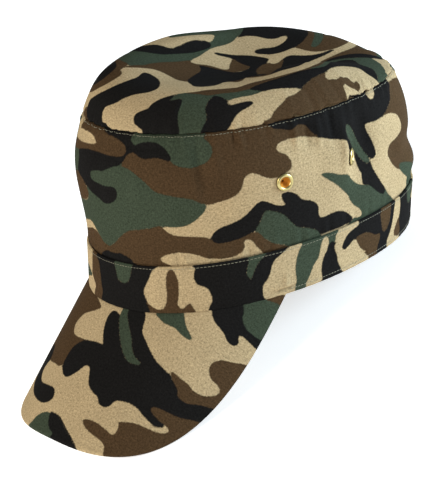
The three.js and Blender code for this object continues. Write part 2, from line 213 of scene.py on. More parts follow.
wallStripe = (  # the edge of a narrow green stripe between two black ones
    (157, 29.6), (153, 33), (150, 36.8), (146.7, 41.4), (143.6, 46), (140.8, 49.8), (140, 52.6),
    (141.4, 55.2), (143.6, 55.5), (145.8, 53.3), (148, 49.9), (150.6, 45.6), (153.7, 40.5), (156.2, 36.6),
)
wallPrint = {
    "brown": (
        ((6, 53), (12.5, 59.5), (30, 60), (60, 64), (61, 70), (97, 70), (120, 66), (124, 60), (122, 55),
         (111, 57.8), (101, 57.3), (98.3, 55), (99.5, 52.8), (103, 50.5), (105, 46.5), (104.3, 43),
         (100, 41), (95, 40.3), (91, 41.5), (87, 44), (83.5, 45.3), (80.3, 44), (78.8, 40.5),
         (77, 37), (73, 34.5), (66, 32.7), (60, 32), (50, 35), (40, 37), (30, 41), (22, 47)),
        ((-60, 1), (-50, 5), (-40, 8), (-30, 11), (-22, 13), (-15, 12), (-9, 8.3), (-4, 7.5), (1, 10),
         (6, 14), (13, 18.3), (20, 19.6), (28, 21), (33.5, 22.3), (37, 19), (41, 16.8), (46, 16),
         (57, 14.5), (62, 13), (84, 13), (88, 8.5), (92, 5), (97, 2.5), (102, -1), (88, -1),
         (85.5, 2), (83, 5), (81.5, 8), (79, 9.6), (76.8, 8.8), (77, 5.8), (74.5, 3), (70, 1.7),
         (63, 1.8), (57, 3), (52, 5.2), (47, 6.7), (41, 7.2), (35, 6), (31.5, 3.5), (31, -2), (-60, -2)),
        ((172.3, 51.6), (178, 51), (183.8, 49.6), (189.2, 47), (192.4, 43.4), (194, 40), (193, 37.4),
         (190, 36.3), (183.8, 35), (178.6, 34.4), (176.6, 32.4), (176.2, 29.4), (177.7, 26.2),
         (180.8, 22.4), (185.4, 18.6), (190, 16), (200, 14), (212, 10), (226, 14), (231, 30), (224, 44),
         (226, 56), (220, 60), (206, 63.4), (198, 64.6), (191, 65), (188.6, 64), (187, 61), (185, 58),
         (181, 55), (176, 53)),
        ((-46, 62), (-45, 67), (-38, 69), (-25, 68.5), (-12, 67.5), (-3, 65.3), (5, 64), (11, 62),
         (13.3, 59), (11.5, 56), (4, 54.5), (-5, 54.3), (-15, 54.6), (-25, 53.6), (-38, 51), (-52, 49),
         (-66, 47), (-66, 55), (-52, 56.4), (-47, 58)),
        ((-60, 26), (-40, 26), (-32, 27), (-24, 29), (-19, 32), (-19, 35), (-25, 39.6), (-32, 42),
         (-36, 43.5), (-50, 43), (-62, 40)),
    ),
    "brownGaps": (
        ((-52, 60), (-44, 62.5), (-35, 63), (-25, 63), (-20, 61.5), (-16.4, 60), (-18, 59), (-25, 58.2),
         (-35, 57.4), (-43, 57), (-52, 57)),
    ),
    "green": (
        ((10, 52), (15, 51.2), (20, 49.8), (24, 47.5), (28, 44.5), (33, 40.5), (38, 39), (45, 37.5),
         (52, 36), (56.5, 33.5), (59, 31.5), (58.5, 29), (56, 26.5), (51, 23), (46, 21.5), (40, 21.3),
         (33, 22.3), (27, 21), (20, 19.5), (14, 18.5), (9, 16), (4, 12.5), (0, 9.5), (-4, 7.5),
         (-9, 8), (-12, 10.5), (-17, 14), (-24, 17), (-40, 13), (-50, 9), (-62, 4), (-75, 2), (-80, 12),
         (-72, 20), (-58, 22), (-45, 25), (-20, 30), (-20, 49), (10, 53.2)),
        ((-45, 52), (-38, 53), (-33.5, 51.5), (-32, 47.5), (-33, 43.6), (-38, 41.5), (-50, 41), (-64, 44),
         (-64, 50)),
        ((12, 70), (12.4, 64), (14.4, 60.8), (22, 60), (30, 60), (38, 58.5), (42, 55.5), (46, 53),
         (52, 51.8), (58, 52), (62.5, 54), (65.5, 58), (65, 62), (62, 65), (60, 70)),
        ((89.5, 24), (92, 23.2), (96.5, 21), (100.5, 17.8), (104, 13), (107.5, 9.5), (113, 7.5),
         (118.5, 4.5), (121, 1.5), (121, -2), (106, -2), (99, 2), (95, 3.5), (91.5, 5.5), (88, 8.5),
         (85.5, 11.5), (83.5, 14.5), (86, 18), (87.5, 21.5)),
        wallStripe + ((158.7, 33.2), (159.4, 29.8)),
        ((122, 34.4), (124, 35), (127.7, 34), (131.5, 32.2), (135.4, 30.6), (138.5, 29.8),
         (141.5, 27.8), (144.6, 24.4), (147.7, 21.7), (150.8, 19.8), (154.6, 18.5), (159, 17),
         (166, 13), (173.4, 10.2), (177.7, 5.5), (180.8, 2.3), (183.8, -2), (143, -2), (144.8, 2.2),
         (149.2, 1.6), (151.6, 2.4), (151.4, 4.4), (149.2, 7), (145.4, 10), (142.3, 14), (140.8, 17),
         (136.2, 21.6), (131.5, 26.2), (126.9, 30)),
        ((190.5, 17.5), (193, 18.6), (200, 17), (210, 13.5), (217, 10), (222, 4), (224, -2),
         (200, -2), (203.5, 2.5), (204.6, 6), (201, 8.3), (195, 12)),
    ),
    "black": (
        ((-14, 68), (0, 67.5), (14.3, 68), (14, 64.8), (16.2, 62.6), (18.6, 61.9), (21, 62.8), (25, 63.6),
         (30, 63.9), (34, 63.3), (38, 61.5), (41, 59), (42.8, 56.4), (41.4, 55.3), (38, 56), (34, 56.7),
         (30, 56.4), (26, 56.1), (22.6, 57), (20, 58.2), (17.4, 58.6),
         (13.6, 57), (12, 54.4), (9, 51.9), (5, 51.1), (0, 49.3), (-5, 47.5), (-12, 46.7), (-15.5, 45.5),
         (-14, 42), (-8, 40.4), (0, 40.6), (6, 40.8), (8.5, 38), (6.5, 34), (1, 31.5), (-5, 31), (-10, 33),
         (-17, 36), (-25, 39.5), (-34.5, 42.4), (-34.2, 46), (-34.5, 50), (-37, 53), (-30, 54.8), (-20, 56),
         (-8, 55.7), (4, 55.7), (8.5, 56), (11.6, 57.1), (12.4, 59), (11, 60.8), (7, 62.6), (2, 63.9),
         (-3, 64.4), (-8, 64.8), (-14, 66)),
        ((96.5, 70), (97, 66.5), (99.5, 64.3), (103, 63.4), (107.5, 62), (110.5, 63.3), (114.5, 63.2),
         (117.5, 61.3), (119.5, 57.8), (123.8, 54.2), (130, 51.4), (137.5, 49), (138.8, 47),
         (140, 44), (142, 42), (145.6, 41), (148.4, 38), (148.8, 35.4), (149.4, 32.6), (150.8, 28.6),
         (152.6, 25.2), (152.9, 21.6), (154.8, 18.6), (158.5, 16.8), (162.3, 13.8), (166.2, 10.6),
         (170, 8.2), (172.6, 7.6), (173.5, 9.4), (172.2, 11.8), (169.2, 15.6), (165.4, 20.2),
         (162.2, 24.6), (159.4, 29.6), *wallStripe, (158.7, 33.6), (161, 31.5), (162.9, 31.2),
         (164, 33.2), (163, 37), (160.9, 42.4), (158.6, 47), (157.6, 50.4), (158.8, 51.3),
         (164.6, 50.9), (170, 51.2), (174.6, 52.2), (178, 53.9), (182.4, 56.3), (185.6, 59),
         (188, 62), (189.2, 66), (188, 70), (172, 70), (170.8, 67), (169, 64.8), (166.9, 63.1),
         (164.6, 62.6), (162.8, 63.8), (162.2, 66.4), (161.6, 70)),
        ((60.3, 13), (61.5, 16), (65, 18.5), (70, 19.8), (76, 21.8), (80.5, 24.7), (84, 28),
         (87.5, 29.5), (91, 28), (95, 25.5), (100, 24), (98.7, 27.5), (98.4, 30.5), (102, 31),
         (106.5, 28.5), (110, 24.5), (115, 22.3), (118.5, 19.8), (120.3, 16.5), (120.3, 13),
         (122, 10.4), (127, 10.4), (132, 10.6), (138, 8.8), (142, 5.5), (143.8, 2.3), (138, 0.8),
         (128, 0.6), (121, 1.5), (118.5, 4.5), (113, 7.5), (107.5, 9.5), (104, 13), (100.5, 17.8),
         (96.5, 21), (91, 23.5), (88, 22.8), (86, 19), (82.5, 14), (76, 11.3), (68, 10.2), (62.5, 10.6)),
        ((-14, -2), (-11, 2.5), (-6, 4.2), (0, 4), (5, 4.6), (10, 3.6), (14, 1.2), (15, -2)),
    ),
}
bandFingers = (  # green, left open in the black
    ((1, 27), (2, 19.4), (2.9, 16.2), (5, 14.8), (7.9, 14.1), (10.7, 15.1), (12.5, 17.3), (13.6, 20.9),
     (14, 27)),
    ((79, 27), (78.2, 22.3), (77.5, 19.4), (77.4, 16.2), (78.6, 14.1), (80, 13), (81.1, 15.1),
     (82.5, 18.7), (84.6, 21.6), (87.1, 23.7), (89, 27)),
    ((204, 27), (203, 21), (206, 16), (212, 15), (217, 19), (219, 27)),
)
bandPrint = {
    "brown": (
        ((-15, 27), (-12, 14), (-11, -2), (-23.2, -2), (-22.8, 3), (-21, 5.9), (-22, 8), (-25, 10.5),
         (-26.4, 12.6), (-25.7, 15), (-25, 20), (-24, 23.7), (-23, 27)),
        ((22.7, -2), (22, 7.3), (24.6, 5.1), (27.9, 3), (31.4, 2.3), (34, 3.8), (35.2, 8), (35.3, 12.3),
         (35, 15), (35.1, 20), (36.1, 22.6), (37.7, 24.1), (39.6, 22.6), (41.3, 18.7), (41.9, 13.7),
         (41.6, 8.7), (41.2, 5.1), (43.2, 2.6), (45, 3.4), (47.5, 5.3), (48.9, 3.7), (50.7, 0.5), (51, -2)),
        ((146, 16), (147, 14.5), (148.2, 12.3), (150.4, 9.4), (152.9, 7.3), (155, 5.9), (156.1, 3.4),
         (157.9, 1.9), (158, -2), (167, -2), (168, 8), (169, 12), (160, 15), (150, 18)),
        ((167.3, 27), (167.3, 22), (168.5, 18), (169.6, 13.5), (171.4, 11), (174.3, 11), (177.1, 13.4),
         (178.6, 16.6), (178.9, 21.2), (178.9, 27)),
        ((191.5, 12), (189.6, 13), (186.4, 10.1), (184.3, 7.3), (184.6, 4.4), (187, 3.4), (192, 2),
         (196, 6), (194, 12)),
    ),
    "green": (
        ((-43, 9.6), (-41, 12.4), (-37, 13.8), (-31, 13), (-27.2, 11), (-29, 9.4), (-33, 8.4), (-37, 6.6),
         (-41, 6)),
        ((109.3, 27), (108.6, 24.4), (106.8, 21.6), (105.7, 18.7), (105, 14.4), (105.1, 10.1),
         (105.7, 5.9), (105.2, -2), (110.7, -2), (112.1, 3), (114.3, 6.6), (116.4, 11), (119.3, 14.4),
         (120.4, 18.7), (121.4, 22.4), (123.9, 24.4), (126.1, 21.6), (126.6, 18.5), (130.3, 18.5),
         (131, 22.5), (132, 27)),
    ) + bandFingers,
    "black": (
        ((-15, 27), (-14.5, 20), (-13.7, 15), (-13, 10), (-12, 6), (-11, -2), (22.7, -2), (22.7, 6.6),
         (22, 9.3), (21.8, 12.6), (23.6, 16), (25.7, 20), (27, 23), (28, 27)),
        ((52.3, 27), (50.7, 23.4), (49.9, 20.1), (50.4, 17.3), (52.1, 14.8), (55.4, 13.4), (57.5, 11.6),
         (58.6, 9.4), (59.6, 5.9), (59.2, -2), (86.4, -2), (86.6, 3), (86.3, 6.6), (87, 9.1),
         (88.9, 11.2), (90.4, 14.1), (91.1, 17.3), (92.5, 20.1), (95.7, 22.3), (98.2, 23.9), (100, 27)),
        ((126.8, 19.3), (125, 16.2), (122.9, 13.7), (121.8, 10.1), (121.6, 5.9), (122.4, 2), (122, -2),
         (137, -2), (135.7, 2.5), (133.2, 7.3), (132.1, 11.6), (130.6, 15.1), (130, 19.5)),
        ((136.4, 13.4), (135.7, 14.8), (136.8, 17.3), (139.3, 20.1), (143.6, 21.9), (147.9, 23.1),
         (149.8, 27), (166.8, 27), (167.5, 21.9), (168.6, 18), (169.6, 13.7), (171.4, 11.2),
         (174.3, 11.2), (177.1, 13.7), (178.6, 16.6), (178.9, 21.2), (179.2, 27), (183.8, 27),
         (183, 21.2), (182.4, 17.3), (181.4, 13), (179.8, 9.4), (177.4, 6.2), (176, 4.5), (176, 2.5),
         (175.5, -2), (166.2, -2), (166.1, 4.4), (167.5, 7.3), (168.2, 10.1),
         (167.5, 11.7), (164.3, 12.1), (160.7, 13.7), (157.9, 15.5), (155, 16.6), (150.7, 16.9),
         (147.1, 16.6), (144.3, 15.9), (142.1, 14.4), (140, 13.4), (137.9, 12.6)),
        ((192, 27), (191.5, 20), (191, 14), (191, 10), (192.5, 6), (193, 2), (195, -2), (226, -2),
         (230, 8), (222, 14), (224, 20), (219, 27)),
    ),
    "blackGaps": bandFingers,
}
topHook = (  # the inner edge of the long black hook, where the ground shows
    (-40, 11.7), (-42.1, 6.7), (-42.5, 0), (-42.1, -6.7), (-42.5, -12.2), (-45, -14.5), (-50, -15.8),
    (-55, -18.2), (-60, -20.6), (-66, -20), (-72, -10), (-77, 2), (-79, 12), (-77, 22), (-73, 30),
    (-71.5, 40),
)
topPrint = {
    "brown": (
        ((76.3, 9), (76.4, 11.2), (78.6, 14.1), (79.2, 16.8), (81.7, 17.5), (83.8, 15.6), (84, 11.8),
         (82.4, 8.4), (81.7, 4.3), (86, 3.4), (92, 0), (91, -16), (86, -36), (78, -54), (74.6, -51),
         (74.6, -46), (73.9, -41), (73.4, -36), (73.1, -30), (73.5, -25.5), (73, -21.6), (71.9, -19.4),
         (71, -13), (70, -4), (69.8, 0.4), (71.8, -1.6), (73.9, -2.3), (75.8, 0.6), (76.6, 4)),
        ((-64.5, -65), (-60, -68), (-54.5, -70.8), (-48.7, -73.3), (-42, -74.2), (-34.5, -72.5),
         (-30.3, -70), (-27.8, -66.7), (-27, -62.7), (-28.7, -59.3), (-32.4, -57.6), (-33.7, -54.6),
         (-35, -50.5), (-39, -48.2), (-46, -46.4), (-56, -41), (-68, -35), (-78, -28), (-82, -34),
         (-76, -48), (-70, -58)),
        ((5, 44), (5.2, 41.4), (9, 41.5), (14, 42.4), (18.5, 44.2), (21.5, 47.6), (23.8, 52), (24.4, 57),
         (23.4, 63), (21.2, 68.5), (17.5, 73.5), (12.5, 78), (4, 83), (-8, 88), (-20, 91.5), (-32, 93),
         (-36, 86), (-24, 78), (-12, 67), (-5, 60), (0, 54), (2, 48)),
        ((3, 12), (4.5, 17), (6, 19.7), (8.3, 19.5), (9.9, 22.5), (9.3, 27), (16, 24), (24, 16), (34, 6),
         (44, -3), (50, -8), (48.6, -12.6), (47.2, -17.6), (45.6, -19.4), (42.5, -20), (36, -18.4),
         (28, -15.2), (20, -11.4), (12, -4), (4, 6)),
        ((18.2, -11.5), (23.3, -16.4), (28.3, -21.6), (31.6, -26.6), (30.7, -28.6), (26.7, -27),
         (22.5, -25.6), (18, -27), (15, -20)),
        ((-15, 12), (-12.5, 6.7), (-10, 3.3), (-7.5, 0.8), (-6.7, -1.3), (-8.3, -3.3), (-12.5, -4.7),
         (-16.7, -6.7), (-19.2, -9.2), (-21, -11.7), (-24.2, -13.4), (-27, -12), (-28.6, -22),
         (-30, -30), (-30.5, -38), (-30.5, -44), (-32.5, -49), (-34.2, -54.2), (-30, -51.4),
         (-26.2, -47.6), (-22.8, -43.9), (-19.5, -41.9), (-15.3, -41), (-8.7, -41.1), (-2, -42.4),
         (4.7, -43), (8, -40), (0, -28), (-8, -14), (0, -2), (2, 6), (-2, 11.5)),
        ((25, 72), (28.2, 66), (29.9, 60), (30.3, 52), (30.2, 41.4), (29.9, 35.2), (31.7, 31.2),
         (35.6, 26.6), (41.1, 22.7), (47.3, 18), (53.6, 13.3), (58.3, 8.6), (60.6, 4), (61.5, -1.5),
         (61.3, -7.7), (59.7, -13.2), (57.3, -18.7), (54.6, -23.6), (51, -28), (48, -32), (46.7, -36.6),
         (46, -41), (42.7, -44), (38, -48), (33.5, -52.2), (31, -57), (27, -61.5), (33, -60), (39, -58.4),
         (44, -55), (49.5, -49.5), (53.5, -42), (56, -33), (60, -21), (63, -12), (64.6, -4), (64.2, 2),
         (61.6, 7.6), (56.4, 13.8), (50, 19.2), (43.4, 24.2), (38, 28.8), (34.4, 33.4), (33.4, 38),
         (35.5, 46), (38, 54), (41, 62), (44.5, 70), (41, 76), (35, 82), (29, 87), (20, 88), (14, 84),
         (20, 77.4)),
        ((-49, -82.5), (-44.6, -83), (-41.6, -86), (-37.6, -88.8), (-33, -91.6), (-36, -97), (-50, -93),
         (-56, -86)),
    ),
    "green": (
        ((24.3, -64.4), (28, -61.4), (32.9, -59.2), (39.3, -57.4), (43.6, -55.7), (44.3, -60),
         (47.1, -65.7), (51.4, -70), (54, -79), (43, -87), (34.3, -74.3), (30.7, -67.4), (25, -71)),
        ((60.8, -37.6), (59, -43.7), (55.9, -48.3), (53.7, -51.5), (52.4, -54.6), (48.5, -55.2),
         (44, -56), (40.5, -57.6), (43, -54), (47, -49.5), (51, -45.5), (53.5, -41), (57, -39.4)),
        ((-34, 33.3), (-31.7, 27), (-31.3, 21.7), (-32.1, 15), (-31.7, 9.2), (-30, 3.3), (-28, -3.3),
         (-27.1, -9.2), (-26.8, -13), (-27.9, -21.7), (-29, -30), (-29.3, -38.3), (-29, -43.6),
         (-31, -47.4), (-34, -50), (-38, -49), (-45, -47.2), (-54, -42), (-66, -34), (-75, -26),
         (-82.9, -8.6), (-87.1, 4.3), (-89.3, 17.1), (-87.1, 31.4), (-81.4, 43), (-74.3, 50),
         (-66, 56), (-57, 56), (-50, 53), (-43, 48), (-38, 43), (-35, 38)),
        ((-14, 78), (-14, 74), (-8, 70), (-3, 66.5), (2, 61.6), (6, 56.8), (9.5, 51.4), (12.3, 47.6),
         (14.6, 48.6), (13.6, 54), (10, 60), (5, 66), (-1, 71), (-7, 75.5)),
        ((45.8, 60.4), (53.6, 59.2), (60.6, 54.8), (66.9, 50.8), (70.5, 48.6), (75.4, 43), (79, 36.6),
         (76.3, 35), (74.7, 36.4), (70, 39), (63.8, 42), (57.5, 40.5), (52, 42.5), (47.3, 45.8),
         (44, 46.8), (41.2, 44.4), (40, 40), (43, 33.4), (49, 27.4), (55, 21), (60, 14.6), (64, 8.6),
         (66.6, 3), (65.4, -3), (63.2, -4), (63.4, 2), (61, 8), (56.2, 13.8), (50, 19.4), (43.6, 24.6),
         (38, 29.6), (35, 34.4), (34.4, 39), (36.4, 43.4), (40.4, 50), (43, 55)),
        ((20, 84), (24, 77.4), (28, 71.6), (30.6, 72.6), (33, 77), (38, 75), (42, 70.4), (43.5, 72),
         (40, 79), (32, 85), (24, 88)),
    ),
    "greenGaps": (
        ((-43.3, 22.7), (-40.4, 20), (-38.3, 15), *topHook, (-66.4, 42), (-65.7, 38), (-68, 28),
         (-68, 17), (-66, 9), (-61, 2), (-56.5, -1), (-52.6, 5), (-49.2, 12), (-46.2, 19)),
    ),
    "black": (
        ((9.9, -86), (10.5, -84), (13, -82), (16.4, -79.3), (16.6, -76.8), (18.4, -72.6), (20.6, -69),
         (24.2, -65.6), (25, -70.6), (28, -68.6), (31.2, -67.6), (33.9, -70.4), (35.6, -75), (39, -80),
         (42.6, -84), (43, -92), (30, -96), (21.5, -95), (19.5, -91.2), (15, -90.5), (12, -89.3)),
        ((43.6, -55.7), (47.1, -54.6), (51.4, -54.9), (54.9, -56.6), (58, -52.4), (60.5, -48.4),
         (62.8, -47), (63.7, -49.3), (62.1, -58.6), (63.5, -70), (54, -79), (51.4, -70), (47.1, -65.7),
         (44.3, -60)),
        ((-20.3, -51.3), (-19.3, -49.5), (-15.3, -49.1), (-8.7, -50.3), (-2, -54.1), (3, -58.3),
         (6.3, -61.7), (7.9, -65.2), (6.3, -69), (1.3, -71.6), (-3.7, -73.3), (-7, -76.7), (-9.5, -80),
         (-13.7, -82.2), (-17.8, -83.9), (-18.9, -87), (-18, -89.8), (-15.3, -92), (-12, -93), (-8, -97),
         (-32, -96), (-40, -89), (-43.4, -84),
         (-44, -81), (-42.4, -79.3), (-37.8, -78.3), (-31.2, -76.3), (-25.3, -73.3), (-21.2, -69.2),
         (-18.7, -65), (-17.4, -60), (-17.8, -56.7), (-19.5, -53.3)),
        ((-40.3, -54.6), (-38, -57.5), (-37.2, -61.7), (-38.2, -65.8), (-41.2, -68), (-46, -69),
         (-52, -67.5), (-60, -63), (-66, -56), (-72, -46), (-77, -34), (-75, -31), (-67.1, -38),
         (-56, -44.5), (-47, -49.8)),
        ((-37.6, 13.8), (-34.6, 12), (-32.9, 8), (-32.3, 2), (-32.8, -4), (-34.4, -9), (-36.7, -15),
         (-39.2, -21.5), (-43.3, -25.8), (-50, -29), (-56, -29.5), (-63, -27), (-69, -20), (-75.7, -7.1),
         (-81.4, 7.1), (-84.3, 17.1), (-84.3, 28.6), (-81.4, 38.6), (-75, 42.9), *topHook[::-1]),
        ((-33, 33.6), (-30, 37.5), (-25, 40.3), (-20, 41.2), (-15.8, 42.5), (-12.9, 45.4),
         (-12.3, 49.2), (-10.8, 50.8), (-8.8, 50), (-6.7, 46.7), (-5.5, 42.5), (-5.8, 37.5),
         (-7.9, 34.2), (-10.8, 31.7), (-12.7, 28.3), (-12.1, 25.8), (-9.2, 24.7), (-5, 26.3),
         (-0.8, 28.3), (2.1, 31.7), (3.8, 35.8), (4.6, 40), (5, 45), (3.8, 50), (1.7, 54.5), (-0.8, 59),
         (-4.2, 62.8), (-8.3, 66.4), (-13, 70.4), (-19, 75.5), (-26, 81), (-34, 86), (-44, 86),
         (-53, 81.5), (-47, 80.5), (-40, 79.3), (-36.5, 77.5), (-38, 75.7), (-46, 74.5), (-52, 72),
         (-55, 64.3), (-58, 57), (-50, 53), (-44, 48.5), (-39, 43), (-35.5, 38)),
        ((25.2, 52.2), (25.9, 48), (25.8, 41.7), (25, 35), (24.8, 29.2), (25.8, 25), (28.3, 20.8),
         (32.5, 17.5), (38.3, 14.2), (44.2, 10.8), (49.2, 6.7), (52.5, 2.5), (54.2, -1.7), (54.4, -5),
         (52.5, -8), (49.2, -10.6), (47.5, -14), (46, -17), (44.2, -15.4), (41.5, -10.5), (38.2, -5.6),
         (34, -0.8), (29, 4.2), (23.2, 10), (18.2, 15.9), (13.2, 22.6), (9.3, 28.2), (8.9, 30.8),
         (10, 33.3), (13.3, 35.3), (17.5, 38.2), (20.8, 41.6), (22.9, 45.8), (24.2, 50)),
        ((-26, 6.6), (-26.8, 8.8), (-24.6, 10.9), (-20.8, 13.8), (-15.8, 17.5), (-10.8, 20.8),
         (-5.8, 22.5), (-0.8, 23.3), (2.5, 22.5), (4.2, 18.3), (4.6, 14.2), (5.8, 10), (9.2, 5.8),
         (13.3, 2.5), (17.5, -0.8), (21.7, -4.2), (26.7, -7.5), (31.7, -10), (36.7, -12.6),
         (41, -15.6), (37, -16), (31.7, -13.6), (26.7, -11.9), (21.7, -10), (18.6, -11), (20.6, -15),
         (22, -19), (21, -23.5), (20, -27.4), (23.3, -32.5), (26.7, -37.5), (28.3, -41.7), (27.5, -45.8),
         (24.2, -49.2), (20, -49.5), (15, -46.8), (10, -44.2), (4.2, -40), (-0.8, -35), (-5, -29.2),
         (-8.3, -23.3), (-10.8, -18.3), (-15, -14.2), (-18.3, -12.4), (-17.5, -10), (-13.3, -7.5),
         (-8.3, -5), (-3.3, -3.3), (0.8, -1.7), (2.5, 1.7), (2.1, 6.7), (0, 9.7), (-5.8, 10),
         (-11.7, 10.8), (-15, 11.6), (-19.2, 10), (-22.5, 7.9)),
        ((79, 36.4), (76.3, 34.8), (71.6, 30.6), (66.6, 29.4), (65.4, 25.8), (66.1, 19.5), (66.9, 13.3),
         (68.2, 7), (69.6, 1.6), (70, -4.7), (70.8, -11.7), (71.2, -17.1), (72, -20.5), (70.8, -23.4),
         (66.9, -28.9), (63, -34.3), (60.8, -37.6), (57, -39.6), (54, -40.5), (53.6, -37), (54.4, -32.5),
         (57, -25.5), (59.6, -18), (62, -9.5), (64, -3), (65.6, 3), (63.6, 8.5), (59, 15), (53.6, 21.4),
         (47.6, 27.4), (42.4, 33), (40, 38), (40.4, 43), (44, 46.8), (47.3, 45.8), (52, 42.5),
         (57.5, 40.5), (63.8, 42), (70, 39), (74.7, 36.4)),
        ((44, 73), (47.2, 68), (46.3, 63), (44.2, 58), (41.5, 53), (39, 48.5), (36, 43.5), (34.3, 39),
         (32.4, 37), (32, 41), (33, 46), (34.5, 51), (36.5, 57), (39, 63), (41.5, 68)),
        ((90, 20), (87, 20), (86.2, 16), (87.2, 10.5), (88, 5), (93, 3), (94, 14)),
    ),
}
peakSliver = (  # green, left open in the black
    (6.8, -71), (10.9, -71), (11.4, -76), (14.2, -79.6), (18.4, -84), (22, -87.6), (24.4, -91.3),
    (28.3, -95.2), (34, -97.6), (32.4, -99.6), (26.4, -99.9), (21.8, -97.3), (17.6, -93.6),
    (12.6, -88), (8.6, -82.6), (6.7, -79),
)
peakPrint = {
    "brown": (
        ((-80, -40), (-50, -58), (-30, -68), (-12.2, -76.5), (-13.3, -79.4), (-19, -81.7), (-24.4, -84),
         (-27.8, -88.3), (-27.8, -91.7), (-24.4, -95.6), (-18.9, -97), (-9, -98), (-10, -106),
         (-20, -115), (-28, -114.8), (-38, -113.9), (-46, -110), (-60, -108), (-72, -100), (-84, -78)),
        ((17.8, -136.7), (21, -135.2), (27, -135), (33, -136), (37.8, -137), (39.2, -135),
         (38.9, -131.7), (37.8, -130), (40, -128.9), (46.7, -126.7), (57.8, -126.1), (62.8, -124.4),
         (63.3, -122.2), (60, -120.9), (56, -120.8), (52, -118.8),
         (49.4, -116.5), (52, -112), (64, -112), (72, -110),
         (82, -108), (82, -132), (60, -150), (40, -152), (38.3, -147.8), (36.7, -143.9), (33.3, -142.2),
         (26.7, -141.1), (21.1, -139.4)),
        ((51, -95), (57.8, -96.3), (62.2, -97.2), (65.6, -98.9), (71.1, -98.9), (76.7, -96.1),
         (78, -92.8), (75.6, -90.8), (71.1, -89.4), (68.3, -86.1), (67.8, -82.8), (70, -79.4),
         (75.6, -77.2), (90, -76), (90, -104), (72, -106), (65.6, -108), (60, -106), (55, -101)),
        ((77, -43), (79, -38), (84, -33), (92, -34), (92, -43), (85, -43)),
        ((-76, -116), (-66, -118), (-60, -126), (-56, -138), (-64, -142), (-76, -132)),
    ),
    "green": (
        peakSliver,
        ((-19.4, -156), (-18.9, -147.2), (-16.1, -143.3), (-11.1, -140.8), (-3.3, -140.3), (2.2, -141.1),
         (10, -145), (16.7, -148.3), (22, -152), (22, -157)),
        ((62, -50), (66, -46), (71.1, -43), (76.7, -40), (90, -40), (92, -60), (85, -61),
         (76.7, -59.5), (71, -56)),
        ((28, -70), (35.6, -64), (41.1, -63), (46.7, -70), (52.2, -74.4), (52.8, -76.1), (47.8, -75.9),
         (42.2, -73.9), (35.6, -73.7), (31, -72.2)),
        ((-84, -60), (-72, -64), (-62, -74), (-56, -86), (-62, -94), (-76, -90), (-88, -84)),
    ),
    "black": (
        ((8.9, -71), (8.9, -79), (8, -80.2), (6.2, -79), (3.8, -77.4), (1.4, -77), (-0.7, -78.2),
         (-1.5, -81), (-1, -85.4), (1, -90), (4, -94.4), (5, -96.2), (0, -96.3), (-7.8, -97.2),
         (-14.4, -100), (-18.3, -105), (-18.9, -112.8),
         (-16.1, -117.2), (-11.1, -119.7), (-6.7, -118.3), (-2.2, -113.9), (0.6, -110.3), (4.4, -110.3),
         (6.7, -113.9), (10, -118.9), (15.6, -121.7), (19.4, -122.8), (22.2, -125.6), (26.1, -126.1),
         (28.9, -124.4), (31.1, -120.6), (37.8, -118.9), (43.3, -119.4), (48.9, -121.7), (55.6, -123.7),
         (59.4, -122.8), (59.4, -121.1), (54.4, -119.4), (50.6, -117.2), (52.2, -114.8), (63.3, -114.4),
         (71.1, -112.8), (82, -109), (84, -102), (72.2, -103.9), (65.6, -106.1), (60, -105),
         (57.8, -101.7), (50, -96.7), (41.1, -93.3), (36.7, -90.6), (30, -85.6), (25.6, -81.7),
         (21.6, -72)),
        ((-46.1, -104.5), (-40, -109.4), (-38.9, -113.9), (-41.1, -119.4), (-37.8, -123.9),
         (-31.1, -127), (-17.8, -127.2), (-13.3, -128.9), (-11.7, -132.2), (-13.3, -135),
         (-18.9, -137.2), (-26.7, -136.7), (-35.6, -134.4), (-43.3, -130.6), (-50, -126), (-56, -118),
         (-54, -108)),
        ((-7.2, -140.9), (-3, -140.2), (2.2, -141.1), (10, -145), (16.7, -148.3), (22, -152), (22, -157),
         (1, -157), (2.5, -150), (-1, -148.3), (-4.4, -146)),
        ((54, -54), (56.1, -58.3), (58.9, -61.7), (63.3, -63.9), (66.7, -65.6), (70, -68.3),
         (73.9, -68.9), (75.6, -66.7), (74.2, -63.3), (76.7, -62.6), (85, -64.8), (92, -66), (92, -58),
         (85.6, -59.6), (76.7, -58.3), (72, -54.5), (70.5, -50), (66, -45), (58, -48)),
        ((-86, -66), (-76, -70), (-70, -78), (-74, -84), (-86, -78)),
    ),
    "blackGaps": (peakSliver,),
}
printing = {
    "colours": ("brown", "green", "black"),  # palest first
    "far": 6,  # distances from a patch's edge are kept up to this
    "reach": 0.8,  # ground that lies this near to two inks is covered by the darker one
    "over": 0.3,  # which ends this far inside the paler one
    "lap": 2,  # and starts no further than this from it
}


def turnedOver(chart, about):
    return {layer: tuple(tuple((about[0] - x, about[1] - y) for x, y in outline) for outline in outlines)
            for layer, outlines in chart.items()}


def joinedCharts(*charts):
    return {layer: tuple(outline for chart in charts for outline in chart.get(layer, ()))
            for chart in charts for layer in chart}


def roundedOutline(outline, steps=5):
    points = np.array(outline, float)
    before, after, beyond = np.roll(points, 1, 0), np.roll(points, -1, 0), np.roll(points, -2, 0)
    share = (np.arange(steps) / steps)[None, :, None]
    a, b, c, d = (side[:, None, :] for side in (before, points, after, beyond))
    curve = (2 * b + (c - a) * share + (2 * a - 5 * b + 4 * c - d) * share ** 2
             + (3 * b - a - 3 * c + d) * share ** 3) / 2
    return curve.reshape(-1, 2)


